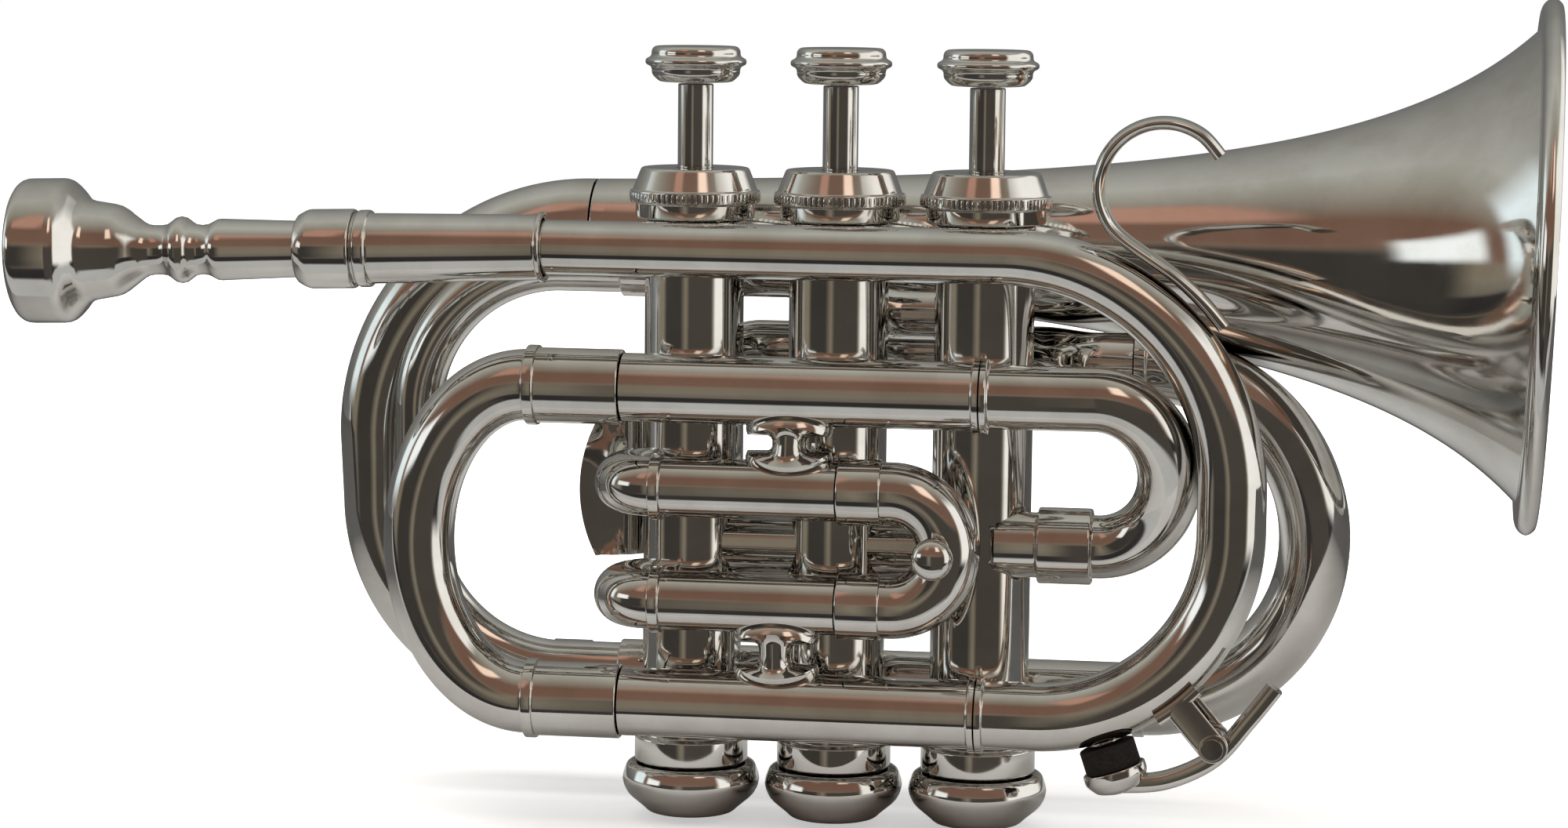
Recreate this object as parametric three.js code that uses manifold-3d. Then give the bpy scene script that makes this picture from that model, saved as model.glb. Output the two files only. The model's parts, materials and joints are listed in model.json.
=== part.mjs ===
// A pocket trumpet: one tube coiled round three piston valves, with a full-size mouthpiece and bell.
// Millimetres. +X runs from the mouthpiece to the bell, +Z up along the valves, and -Y is the near side.
// The origin lies on the middle valve's axis, at the height where a hand holds the valve block.
import * as THREE from 'three';
import { mergeVertices } from 'three/addons/utils/BufferGeometryUtils.js';
import Module from 'manifold-3d';

const wasm = await Module();
wasm.setup();

// Driving dimensions

const fit = {
  seam: 0.3,
  slide: 0.3,
  overrun: 6,
};
const facets = {
  tube: 10,
  slimTube: 8,
  valve: 16,
  small: 10,
  bell: 24,
  bellSteps: 11,
  mouthpiece: 14,
  cap: 14,
  sag: 0.75,
  swaySteps: 4,
  passageSteps: 4,
  curlSteps: 8,
  curlSides: 4,
};
const wall = 0.6;
const bore = 4.2;
const planes = {
  front: -17,
  firstSlide: -17.3,
  thirdSlide: 14.2,
  middleTube: 25,
  rightBow: 17,
  bell: 29,
};
const valve = {
  spacing: 26.5,
  casingRadius: 9,
  casingWall: 0.9,
  casingTop: 48.7,
  casingBottom: -50.8,
  collarRadius: 10.4,
  collarHeight: 4.8,
  travel: 15,
  pistonTop: 42,
  pistonBottom: -31,
  portLevel: -8.4,
  stemRadius: 3.35,
  stemTop: 73.2,
  stopRadius: 6.8,
  stopHeight: 2.6,
  feltHeight: 3,
};
const topCap = {
  collarRadius: 10.8,
  collarHeight: 3.1,
  bandRadius: 11.8,
  bandHeight: 2.2,
  slopeRadius: 11.35,
  topRadius: 9.85,
  height: 9.4,
  roof: 1.5,
  edge: 0.3,
};
const bottomCap = {
  lipRadius: 11.7,
  bellyRadius: 12.75,
  bellyDrop: 3.6,
  footRadius: 8.8,
  footDrop: 9.5,
  depth: 10.5,
  floor: 2,
};
const button = {
  footRadius: 6.6,
  seatRadius: 8,
  ringRadius: 9.15,
  topRadius: 8.05,
  seatHeight: 2.7,
  ringHeight: 1.9,
  height: 6.5,
  edge: 0.7,
  dish: 0.4,
};
const pistonSpring = {
  coilRadius: 6.2,
  wireRadius: 0.45,
  curls: 5,
};
const mouthpiece = {
  droopDegrees: 1.6,
  pivotX: -50.2,
  rimX: -147.5,
  rimRadius: 13.15,
  rimEdge: 1.1,
  rimLength: 9.1,
  shoulderRadius: 11.4,
  shoulderEnd: 12.6,
  cupRadius: 9.2,
  bowlRadius: 8.2,
  bowlEnd: 18.7,
  taperEnd: 23.7,
  neckRadius: 4.5,
  beadRadius: 6.05,
  beadStart: 27.5,
  beadLength: 5,
  bulgeStart: 35.1,
  bulgeRadius: 5.65,
  shankStart: 38.5,
  shankRadius: 5.55,
  shankEndRadius: 4.6,
  length: 66.3,
  cupMouthRadius: 8.6,
  cupDepth: 13,
  throatRadius: 1.9,
  backboreRadius: 3.9,
};
const receiver = {
  startX: -95.7,
  mouthRadius: 6.1,
  ballRadius: 7.15,
  ballRise: 2,
  ballEnd: 9.3,
  waistRadius: 6.3,
  beadRadius: 6.95,
  beadStart: 10.3,
  beadLength: 3,
  sleeveRadius: 6.35,
  sleeveEndRadius: 5.85,
  endRingRadius: 6.4,
  endRingLength: 0.9,
  endX: -50.6,
};
const leadpipe = {
  level: 44.3,
  shankGap: 1.7,
  radius: 4.9,
  bowRadius: 5.55,
  endRadius: 6,
  upperBendX: 31.95,
  upperBend: 40.8,
  drop: 6.8,
  lowerBend: 34,
  ringRadius: 6.8,
  ringLength: 1.2,
};
const mainSlide = {
  upperLevel: 19.6,
  leftX: -36.1,
  rightX: 27.8,
  radius: 6.15,
  legRadius: 5.35,
  travel: 35,
  hold: 10,
  sleeveRadius: 6.75,
  sleeveLength: 15.2,
  beadRadius: 7.2,
  beadLength: 2,
  crookRadius: 6.4,
  crookDepth: 20.1,
};
const smallBow = {
  radius: 5.7,
  bendX: 47.95,
  depth: 12.95,
  lowerPlane: -4.2,
  ferruleRadius: 6.9,
  ferruleStartX: 47,
  ferruleEndX: 37.3,
  stubRadius: 5.9,
  stubEndX: 29.8,
};
const firstSlide = {
  upperLevel: 1.9,
  span: 20.4,
  radius: 5.35,
  legRadius: 4.55,
  travel: 20,
  hold: 11,
  ringRadius: 5.95,
  ringLength: 2,
  ringX: -28.9,
  rightX: 2.6,
  elbowX: -31,
  elbowSpan: 14,
  elbowDepth: 6.2,
  ferruleRadius: 5.95,
  ferruleLength: 7.7,
  crookRadius: 5.6,
  crookX: 12.3,
  knobRadius: 3.7,
  knobLength: 6,
  knobNeck: 1.9,
};
const secondSlide = {
  upperLevel: 5,
  span: 18,
  radius: 5.1,
  legRadius: 4.3,
  travel: 6,
  hold: 2.5,
  stubEnd: 19,
  ferruleRadius: 5.6,
  ferruleLength: 3,
  crookRadius: 4.9,
  knobRadius: 3.4,
  knobLength: 5,
  knobNeck: 1.7,
};
const thirdSlide = {
  upperLevel: 38.3,
  span: 75,
  lowLevel: 31,
  rampStartX: -12,
  rampLength: 22,
  leftX: -36,
  radius: 4.8,
  legRadius: 4.05,
  travel: 14,
  hold: 6,
  crookRadius: 4.5,
  crookX: -54,
  crookBend: 27.3,
  ferruleRadius: 5.2,
  ferruleLength: 6,
  elbow: 8,
  knuckle: 5,
  upperPort: 18,
  lowerPort: -9,
};
const middleTube = {
  level: 23.1,
  radius: 5.1,
  rise: 9.5,
  elbow: 8.5,
  swayStartX: 33,
  swayLength: 14,
};
const rightBow = {
  bendX: 54.9,
  depth: 32.45,
  radius: 5.3,
  ringRadius: 5.9,
  ringLength: 2.4,
};
const bottomTube = {
  level: -41.8,
  radius: 5.8,
  leftRadius: 6.7,
  ringRadius: 7.4,
};
const bellBow = {
  lowerBend: 33.6,
  rise: 12.8,
  upperBend: 40.6,
  leftX: -92.2,
  cornerRadius: 7.4,
  sideRadius: 8,
  topRadius: 8.7,
};
const bell = {
  droopDegrees: 1.4,
  rimX: 127.4,
  rimRadius: 49.1,
  wall: 0.7,
  beadLength: 4.3,
  beadRise: 5.7,
  beadEdge: 1.5,
};
const spool = {
  upperX: -6.2,
  lowerX: -8.2,
  postRadius: 3.2,
  saddleRadius: 6.4,
  saddleHeight: 1.1,
  seatDepth: 2.2,
};
const strut = {
  postRadius: 1.7,
  flangeRadius: 2.6,
  flangeLength: 1.4,
  leftLevel: 46,
  rightLevel: 44,
};
const hook = {
  thickness: 2.4,
  width: 7,
  centreX: 59.2,
  centreZ: 57,
  radius: 11.3,
  tipDegrees: 30,
  neckDegrees: 230,
  footStartDegrees: 54,
  footEndDegrees: 37,
};
const thumbSaddle = {
  thickness: 1.4,
  radius: 8,
  axisX: -44,
  plane: 12.1,
  top: 11,
  bottom: -13.9,
  edgeX: -48,
  edgeRadius: 27,
  footRadius: 2.6,
  footLevel: -1,
};
const waterKey = {
  bowDegrees: 18.5,
  nippleRadius: 3.1,
  nippleBore: 1.6,
  nippleEnd: 6.7,
  corkRadius: 4.8,
  corkHeight: 4.2,
  cupRadius: 5.7,
  cupHeight: 3.6,
  cupLip: 0.9,
  armThickness: 2.4,
  armWidth: 4.4,
  pivotX: 70,
  pivotZ: -40.8,
  barrelRadius: 2.7,
  barrelLength: 3.4,
  screwRadius: 1.1,
  headRadius: 2,
  headHeight: 1,
  earThickness: 1.1,
  earRadius: 2.6,
  earGap: 8.4,
  saddleLength: 9,
  saddleThickness: 1.2,
  touchDegrees: 17,
  springRadius: 1.95,
  springWire: 0.3,
  springCurls: 3.5,
};

// Materials

function finish(color, metalness, roughness) {
  return new THREE.MeshStandardMaterial({ color, metalness, roughness });
}
const materials = {
  nickel: finish(0xb9b3a6, 1, 0.14),
  steel: finish(0x8f9092, 1, 0.35),
  cork: finish(0x1f1c1a, 0, 0.9),
  felt: finish(0x3b3a39, 0, 0.95),
};

// Vectors and solids

const X = new THREE.Vector3(1, 0, 0);
const Y = new THREE.Vector3(0, 1, 0);
const Z = new THREE.Vector3(0, 0, 1);

function at(x, y, z) {
  return new THREE.Vector3(x, y, z);
}

function radians(degrees) {
  return THREE.MathUtils.degToRad(degrees);
}

// A closed mesh as a solid that can be joined and cut.
function solidOf(geometry) {
  const plain = geometry.index ? geometry.toNonIndexed() : geometry.clone();
  plain.deleteAttribute('normal');
  plain.deleteAttribute('uv');
  const merged = mergeVertices(plain);
  const vertProperties = new Float32Array(merged.attributes.position.array);
  const triVerts = new Uint32Array(merged.index.array);
  return new wasm.Manifold(new wasm.Mesh({ numProp: 3, vertProperties, triVerts }));
}

function geometryOf(solid) {
  const { numProp, vertProperties, triVerts } = solid.getMesh();
  const positions = new Float32Array((vertProperties.length / numProp) * 3);
  for (let i = 0; i < positions.length / 3; i++) {
    for (let axis = 0; axis < 3; axis++) {
      positions[3 * i + axis] = vertProperties[numProp * i + axis];
    }
  }
  const geometry = new THREE.BufferGeometry();
  geometry.setAttribute('position', new THREE.BufferAttribute(positions, 3));
  geometry.setIndex(new THREE.BufferAttribute(new Uint32Array(triVerts), 1));
  const faceted = geometry.toNonIndexed();
  faceted.computeVertexNormals();
  return faceted;
}

// A body of revolution about +Z, from a closed outline of [radius, height] points.
function turned(outline, sides) {
  const closed = [...outline, outline[0]];
  let area = 0;
  for (let i = 0; i < outline.length; i++) {
    area += closed[i][0] * closed[i + 1][1] - closed[i + 1][0] * closed[i][1];
  }
  const ordered = area > 0 ? closed : closed.reverse();
  const points = ordered.map(([radius, height]) => new THREE.Vector2(radius, height));
  const geometry = new THREE.LatheGeometry(points, sides);
  return solidOf(geometry.rotateX(Math.PI / 2));
}

// A plain rod about +Z between two heights.
function rod(radius, from, to, sides) {
  return turned([[0, from], [radius, from], [radius, to], [0, to]], sides);
}

// Turns a body made about +Z to a heading and moves its origin to a place.
function aimed(solid, place, heading) {
  const geometry = geometryOf(solid);
  const turn = new THREE.Quaternion().setFromUnitVectors(Z, heading.clone().normalize());
  geometry.applyQuaternion(turn);
  geometry.translate(place.x, place.y, place.z);
  return solidOf(geometry);
}

// A flat outline in the XZ plane, given a width about a plane of constant Y.
function plate(points, width, plane) {
  const shape = new THREE.Shape(points.map(([x, z]) => new THREE.Vector2(x, z)));
  const geometry = new THREE.ExtrudeGeometry(shape, { depth: width, bevelEnabled: false });
  geometry.rotateX(Math.PI / 2);
  geometry.translate(0, plane + width / 2, 0);
  return solidOf(geometry);
}

// A bent strip: a curve in the XZ plane with a thickness across it and a width along Y.
function strip(points, thickness, width, plane, steps) {
  const curve = new THREE.CatmullRomCurve3(points.map(([x, z]) => at(x, 0, z)), false, 'centripetal');
  const left = [];
  const right = [];
  for (let i = 0; i <= steps; i++) {
    const place = curve.getPoint(i / steps);
    const heading = curve.getTangent(i / steps);
    const across = at(-heading.z, 0, heading.x).multiplyScalar(thickness / 2);
    left.push([place.x + across.x, place.z + across.z]);
    right.push([place.x - across.x, place.z - across.z]);
  }
  return plate([...left, ...right.reverse()], width, plane);
}

// How many straight chords stand for a bend, so that each lies within the sag of its arc.
function chords(radius, degrees) {
  return Math.ceil(radians(degrees) / (2 * Math.acos(1 - facets.sag / radius)));
}

// Two steps count as one straight run when their cosine reaches this share of 1.
const straightShare = 1 - 1e-9;

// A drawn tube, laid out station by station along its centre line.
// Each station has a place, a heading, and an outer and an inner radius.
class Tube {
  constructor(place, heading, outer, inner = outer - wall) {
    this.stations = [{ place: place.clone(), heading: heading.clone().normalize(), outer, inner }];
  }

  get end() {
    return this.stations[this.stations.length - 1];
  }

  add(place, heading, outer, inner) {
    this.stations.push({ place, heading, outer, inner });
    return this;
  }

  // A shoulder: the radii change at one place.
  step(outer, inner = this.end.inner) {
    const { place, heading } = this.end;
    return this.add(place.clone(), heading.clone(), outer, inner);
  }

  straight(length, outer = this.end.outer) {
    const { place, heading, outer: from, inner } = this.end;
    const next = place.clone().addScaledVector(heading, length);
    return this.add(next, heading.clone(), outer, inner + outer - from);
  }

  // A ferrule or ring round the tube, which goes on at its own radius after it.
  ring(outer, length) {
    const after = this.end.outer;
    return this.step(outer).add(
      this.end.place.clone().addScaledVector(this.end.heading, length),
      this.end.heading.clone(), outer, this.end.inner,
    ).step(after);
  }

  // A circular bend of a radius, by an angle, towards a direction.
  bend(radius, degrees, towards, outer = this.end.outer) {
    const { place, heading, outer: from, inner } = this.end;
    const inward = towards.clone().addScaledVector(heading, -towards.dot(heading)).normalize();
    const steps = chords(radius + outer, degrees);
    for (let i = 1; i <= steps; i++) {
      const share = i / steps;
      const turn = radians(degrees * share);
      const next = place.clone()
        .addScaledVector(heading, radius * Math.sin(turn))
        .addScaledVector(inward, radius * (1 - Math.cos(turn)));
      const direction = heading.clone().multiplyScalar(Math.cos(turn))
        .addScaledVector(inward, Math.sin(turn));
      const swell = (outer - from) * share;
      this.add(next, direction, from + swell, inner + swell);
    }
    return this;
  }

  // A half-ellipse that comes back beside itself: its depth ahead and the whole step across.
  bow(depth, across) {
    const { place, heading, outer, inner } = this.end;
    const half = across.clone().multiplyScalar(1 / 2);
    const centre = place.clone().add(half);
    const steps = chords((depth + half.length()) / 2 + outer, 180);
    for (let i = 1; i <= steps; i++) {
      const turn = Math.PI * i / steps;
      const next = centre.clone()
        .addScaledVector(half, -Math.cos(turn))
        .addScaledVector(heading, depth * Math.sin(turn));
      const direction = half.clone().multiplyScalar(Math.sin(turn))
        .addScaledVector(heading, depth * Math.cos(turn)).normalize();
      this.add(next, direction, outer, inner);
    }
    return this;
  }

  // A smooth sidestep over a run.
  sway(run, shift) {
    const { place, heading, outer, inner } = this.end;
    const steps = facets.swaySteps;
    for (let i = 1; i <= steps; i++) {
      const share = i / steps;
      const rise = share * share * (3 - 2 * share);
      const slope = 6 * share * (1 - share);
      const next = place.clone().addScaledVector(heading, run * share).addScaledVector(shift, rise);
      const direction = heading.clone().multiplyScalar(run).addScaledVector(shift, slope).normalize();
      this.add(next, direction, outer, inner);
    }
    return this;
  }

  // The stations at which a surface really turns, steps or changes its taper.
  turnsOf(radiusName) {
    const point = ({ place }, radius) => [place.x, place.y, place.z, radius];
    const kept = [this.stations[0]];
    for (let i = 1; i < this.stations.length; i++) {
      const [before, here, after] = [kept[kept.length - 1], this.stations[i], this.stations[i + 1]];
      const [a, b] = [before, here].map((station) => point(station, station[radiusName]));
      const step = b.map((value, axis) => value - a[axis]);
      if (Math.hypot(...step) === 0) continue;
      if (after) {
        const onward = point(after, after[radiusName]).map((value, axis) => value - b[axis]);
        const product = step.reduce((sum, value, axis) => sum + value * onward[axis], 0);
        const even = product > Math.hypot(...step) * Math.hypot(...onward) * straightShare;
        if (even) continue;
      }
      kept.push(here);
    }
    return kept;
  }

  // Rings of points on frames that are carried along without twist.
  rings(sides, radiusName) {
    const first = this.stations[0].heading;
    const side = Math.abs(first.y) < Math.SQRT1_2 ? Y.clone() : Z.clone();
    return this.turnsOf(radiusName).map((station) => {
      side.addScaledVector(station.heading, -side.dot(station.heading)).normalize();
      const over = new THREE.Vector3().crossVectors(station.heading, side);
      const ring = [];
      for (let i = 0; i < sides; i++) {
        const turn = 2 * Math.PI * i / sides;
        ring.push(station.place.clone()
          .addScaledVector(side, station[radiusName] * Math.cos(turn))
          .addScaledVector(over, station[radiusName] * Math.sin(turn)));
      }
      return ring;
    });
  }

  // The tube's metal, open from end to end.
  shell(sides = facets.tube) {
    const outer = this.rings(sides, 'outer');
    const inner = this.rings(sides, 'inner').reverse();
    return skin([...outer, ...inner, outer[0]], sides);
  }

  // All that lies inside a chosen surface of the tube, with flat ends.
  core(radiusName = 'outer', sides = facets.tube) {
    const rings = this.rings(sides, radiusName);
    const stations = this.stations;
    const first = stations[0].place;
    const last = stations[stations.length - 1].place;
    const startCap = rings[0].map(() => first);
    const endCap = rings[0].map(() => last);
    return skin([startCap, ...rings, endCap], sides);
  }
}

// A closed skin through rings of points that each have the same number of points.
function skin(rings, sides) {
  const positions = [];
  const face = (a, b, c) => positions.push(...a.toArray(), ...b.toArray(), ...c.toArray());
  for (let row = 0; row + 1 < rings.length; row++) {
    for (let i = 0; i < sides; i++) {
      const j = (i + 1) % sides;
      const [a, b, c, d] = [rings[row][i], rings[row][j], rings[row + 1][j], rings[row + 1][i]];
      if (a.distanceTo(b) > 0) face(a, b, c);
      if (c.distanceTo(d) > 0) face(a, c, d);
    }
  }
  const geometry = new THREE.BufferGeometry();
  geometry.setAttribute('position', new THREE.Float32BufferAttribute(positions, 3));
  return solidOf(geometry);
}

// An open helix of round wire about +Z, as one unbroken tube.
// The least gap between neighbouring curls is measured on its points and printed.
function helix(name, coilRadius, wireRadius, curls, from, to) {
  const count = Math.round(curls * facets.curlSteps);
  const bottom = from + wireRadius;
  const pitch = (to - from - 2 * wireRadius) / curls;
  const centres = [];
  const rings = [];
  for (let i = 0; i <= count; i++) {
    const turn = 2 * Math.PI * i / facets.curlSteps;
    const outward = at(Math.cos(turn), Math.sin(turn), 0);
    const centre = outward.clone().multiplyScalar(coilRadius).setZ(bottom + pitch * turn / (2 * Math.PI));
    const heading = at(-Math.sin(turn) * coilRadius, Math.cos(turn) * coilRadius, pitch / (2 * Math.PI));
    const over = new THREE.Vector3().crossVectors(heading.normalize(), outward);
    const ring = [];
    for (let k = 0; k < facets.curlSides; k++) {
      const angle = 2 * Math.PI * (k + 1 / 2) / facets.curlSides;
      ring.push(centre.clone()
        .addScaledVector(outward, wireRadius * Math.cos(angle))
        .addScaledVector(over, wireRadius * Math.sin(angle)));
    }
    centres.push(centre);
    rings.push(ring);
  }
  let least = Infinity;
  for (let i = 0; i + facets.curlSteps / 2 < centres.length; i++) {
    for (let j = i + facets.curlSteps / 2; j < centres.length; j++) {
      least = Math.min(least, centres[i].distanceTo(centres[j]) - 2 * wireRadius);
    }
  }
  console.log(name, 'least gap between curls', least.toFixed(2));
  const startCap = rings[0].map(() => centres[0]);
  const endCap = rings[0].map(() => centres[count]);
  return skin([startCap, ...rings, endCap], facets.curlSides);
}

// The group

const trumpet = new THREE.Group();

function piece(name, solid, material = materials.nickel, group = trumpet) {
  const mesh = new THREE.Mesh(geometryOf(solid), material);
  mesh.name = name;
  group.add(mesh);
  return mesh;
}

const valveX = [-valve.spacing, 0, valve.spacing];
const casingBore = valve.casingRadius - valve.casingWall;
const pistonRadius = casingBore - fit.slide;

// What a tube that seats on a casing is cut back with.
function casingCutter(index) {
  const cutter = rod(
    valve.casingRadius + fit.seam,
    valve.casingBottom,
    valve.casingTop,
    facets.valve,
  );
  return cutter.translate([valveX[index], 0, 0]);
}

// Ports of each valve: a place on the valve's axis offset by a side step, and the way out.
const passLevel = valve.portLevel;
const firstLower = firstSlide.upperLevel - firstSlide.span;
const secondLower = secondSlide.upperLevel - secondSlide.span;
const elbowPlane = planes.firstSlide + firstSlide.elbowSpan;
const ports = [
  {
    right: { place: at(0, 0, passLevel), out: X },
    left: { place: at(0, 0, passLevel), out: Y },
    slideIn: { place: at(0, elbowPlane, firstSlide.upperLevel), out: X.clone().negate() },
    slideOut: { place: at(0, elbowPlane, firstLower), out: X.clone().negate() },
  },
  {
    right: { place: at(0, 0, passLevel), out: X },
    left: { place: at(0, 0, passLevel), out: X.clone().negate() },
    slideIn: { place: at(0, 0, secondSlide.upperLevel), out: Y },
    slideOut: { place: at(0, 0, secondLower), out: Y },
  },
  {
    right: { place: at(0, smallBow.lowerPlane, passLevel), out: X },
    left: { place: at(0, 0, passLevel), out: X.clone().negate() },
    slideIn: { place: at(0, 0, thirdSlide.upperPort), out: Y },
    slideOut: { place: at(0, 0, thirdSlide.lowerPort), out: Y },
  },
];

// A port's drilling through one side of the casing.
function drilling({ place, out }) {
  const length = valve.casingRadius + fit.overrun;
  return new Tube(place, out, bore).straight(length).core('outer', facets.slimTube);
}

// A curved passage through a piston, from one port's mouth to another's, lifted by a height.
function passage(from, to, lift) {
  const reach = pistonRadius + fit.overrun / 2;
  const depth = pistonRadius / 8;
  const raised = at(0, 0, lift);
  const mouth = (port, distance) => port.place.clone().addScaledVector(port.out, distance).add(raised);
  const curve = new THREE.CubicBezierCurve3(
    mouth(from, reach), mouth(from, depth), mouth(to, depth), mouth(to, reach),
  );
  const steps = facets.passageSteps;
  const tube = new Tube(curve.getPoint(0), curve.getTangent(0), bore - fit.slide);
  for (let i = 1; i <= steps; i++) {
    const { outer, inner } = tube.end;
    tube.add(curve.getPoint(i / steps), curve.getTangent(i / steps), outer, inner);
  }
  return tube.core('outer', facets.curlSteps);
}

// One valve: casing, caps, piston, stem, button, felt and spring, about its own axis.
function addValve(index) {
  const group = new THREE.Group();
  group.position.x = valveX[index];
  trumpet.add(group);
  const number = index + 1;
  const port = ports[index];

  const collarTop = valve.casingBottom + valve.collarHeight;
  let casing = turned([
    [casingBore, valve.casingBottom],
    [valve.collarRadius, valve.casingBottom],
    [valve.collarRadius, collarTop],
    [valve.casingRadius, collarTop],
    [valve.casingRadius, valve.casingTop],
    [casingBore, valve.casingTop],
  ], facets.valve);
  for (const way of Object.values(port)) {
    casing = casing.subtract(drilling(way));
  }
  piece(`valve_casing_${number}`, casing, materials.nickel, group);

  const capBase = valve.casingTop + fit.seam;
  const capTop = valve.casingTop + topCap.height;
  const bandBase = valve.casingTop + topCap.collarHeight;
  const bandTop = bandBase + topCap.bandHeight;
  const capRoof = capTop - topCap.roof;
  const stemHole = valve.stemRadius + fit.slide;
  const cap = turned([
    [topCap.collarRadius, capBase],
    [topCap.collarRadius, bandBase],
    [topCap.bandRadius, bandBase],
    [topCap.bandRadius, bandTop],
    [topCap.slopeRadius, bandTop],
    [topCap.topRadius, capTop - topCap.edge],
    [topCap.topRadius - topCap.edge, capTop],
    [stemHole, capTop],
    [stemHole, capRoof],
    [casingBore, capRoof],
    [casingBore, capBase],
  ], facets.cap);
  piece(`top_cap_${number}`, cap, materials.nickel, group);

  const lid = valve.casingBottom - fit.seam;
  const bellyLevel = valve.casingBottom - bottomCap.bellyDrop;
  const footLevel = valve.casingBottom - bottomCap.footDrop;
  const bottom = valve.casingBottom - bottomCap.depth;
  const springFloor = bottom + bottomCap.floor;
  const middleRadius = (bottomCap.bellyRadius + bottomCap.footRadius) / 2;
  const bowl = turned([
    [casingBore, lid],
    [bottomCap.lipRadius, lid],
    [bottomCap.bellyRadius, bellyLevel],
    [middleRadius + bottomCap.floor / 2, (bellyLevel + footLevel) / 2],
    [bottomCap.footRadius, footLevel],
    [bottomCap.footRadius - bottomCap.floor / 2, bottom],
    [0, bottom],
    [0, springFloor],
    [casingBore, springFloor],
  ], facets.cap);
  piece(`bottom_cap_${number}`, bowl, materials.nickel, group);

  let piston = rod(pistonRadius, valve.pistonBottom, valve.pistonTop, facets.valve);
  piston = piston.subtract(passage(port.right, port.left, 0));
  piston = piston.subtract(passage(port.right, port.slideIn, valve.travel));
  piston = piston.subtract(passage(port.slideOut, port.left, valve.travel));
  piece(`piston_${number}`, piston, materials.nickel, group);

  const feltBase = capRoof - fit.seam - valve.feltHeight;
  const stopTop = feltBase - fit.seam;
  const stopBase = stopTop - valve.stopHeight;
  const stem = turned([
    [0, valve.pistonTop + fit.seam],
    [valve.stemRadius, valve.pistonTop + fit.seam],
    [valve.stemRadius, stopBase],
    [valve.stopRadius, stopBase],
    [valve.stopRadius, stopTop],
    [valve.stemRadius, stopTop],
    [valve.stemRadius, valve.stemTop],
    [0, valve.stemTop],
  ], facets.small);
  piece(`stem_${number}`, stem, materials.nickel, group);

  const felt = turned([
    [stemHole, feltBase],
    [valve.stopRadius, feltBase],
    [valve.stopRadius, feltBase + valve.feltHeight],
    [stemHole, feltBase + valve.feltHeight],
  ], facets.small);
  piece(`cap_felt_${number}`, felt, materials.felt, group);

  const buttonBase = valve.stemTop + fit.seam;
  const seatTop = buttonBase + button.seatHeight;
  const ringTop = seatTop + button.ringHeight;
  const buttonTop = buttonBase + button.height;
  const press = turned([
    [0, buttonBase],
    [button.footRadius, buttonBase],
    [button.seatRadius, buttonBase + button.seatHeight / 2],
    [button.seatRadius, seatTop],
    [button.ringRadius, seatTop + button.ringHeight / 4],
    [button.ringRadius, ringTop - button.ringHeight / 4],
    [button.topRadius, ringTop],
    [button.topRadius, buttonTop - button.edge],
    [button.topRadius - button.edge, buttonTop],
    [button.footRadius / 2, buttonTop - button.dish],
    [0, buttonTop - button.dish],
  ], facets.cap);
  piece(`finger_button_${number}`, press, materials.nickel, group);

  const spring = helix(
    `piston_spring_${number}`, pistonSpring.coilRadius, pistonSpring.wireRadius, pistonSpring.curls,
    springFloor + fit.seam, valve.pistonBottom - fit.seam,
  );
  piece(`piston_spring_${number}`, spring, materials.steel, group);
}

for (let index = 0; index < valveX.length; index++) {
  addValve(index);
}

// Short tubes between neighbouring casings.
for (let index = 0; index + 1 < valveX.length; index++) {
  const tube = new Tube(at(valveX[index], 0, passLevel), X, bore + wall, bore)
    .straight(valve.spacing)
    .shell();
  const seated = tube.subtract(casingCutter(index)).subtract(casingCutter(index + 1));
  piece(`valve_tube_${index + 1}${index + 2}`, seated);
}

// Mouthpiece and its receiver, on one axis that droops a little to the left.
const droop = radians(mouthpiece.droopDegrees);
const blow = at(Math.cos(droop), 0, Math.sin(droop));

function onDroop(x) {
  const run = (x - mouthpiece.pivotX) / Math.cos(droop);
  return at(mouthpiece.pivotX, planes.front, leadpipe.level).addScaledVector(blow, run);
}

const shoulderMiddle = (mouthpiece.rimLength + mouthpiece.shoulderEnd) / 2;
const beadEnd = mouthpiece.beadStart + mouthpiece.beadLength;
const beadMiddle = (mouthpiece.beadStart + beadEnd) / 2;
const mouthpieceBody = turned([
  [mouthpiece.cupMouthRadius, 0],
  [mouthpiece.rimRadius - mouthpiece.rimEdge, 0],
  [mouthpiece.rimRadius, mouthpiece.rimEdge],
  [mouthpiece.rimRadius, mouthpiece.rimLength],
  [mouthpiece.shoulderRadius, shoulderMiddle],
  [mouthpiece.cupRadius, mouthpiece.shoulderEnd],
  [mouthpiece.bowlRadius, mouthpiece.bowlEnd],
  [(mouthpiece.bowlRadius + mouthpiece.neckRadius) / 2, (mouthpiece.bowlEnd + mouthpiece.taperEnd) / 2],
  [mouthpiece.neckRadius, mouthpiece.taperEnd],
  [mouthpiece.neckRadius, mouthpiece.beadStart],
  [mouthpiece.beadRadius, beadMiddle - mouthpiece.beadLength / 6],
  [mouthpiece.beadRadius, beadMiddle + mouthpiece.beadLength / 6],
  [mouthpiece.neckRadius, beadEnd],
  [mouthpiece.neckRadius, mouthpiece.bulgeStart],
  [mouthpiece.bulgeRadius, (mouthpiece.bulgeStart + mouthpiece.shankStart) / 2],
  [mouthpiece.shankRadius, mouthpiece.shankStart],
  [mouthpiece.shankEndRadius, mouthpiece.length],
  [mouthpiece.backboreRadius, mouthpiece.length],
  [mouthpiece.throatRadius, mouthpiece.beadStart],
  [mouthpiece.throatRadius, mouthpiece.cupDepth + mouthpiece.rimEdge],
  [mouthpiece.cupMouthRadius * 2 / 3, mouthpiece.cupDepth * 2 / 3],
], facets.mouthpiece);
piece('mouthpiece', aimed(mouthpieceBody, onDroop(mouthpiece.rimX), blow));

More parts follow.
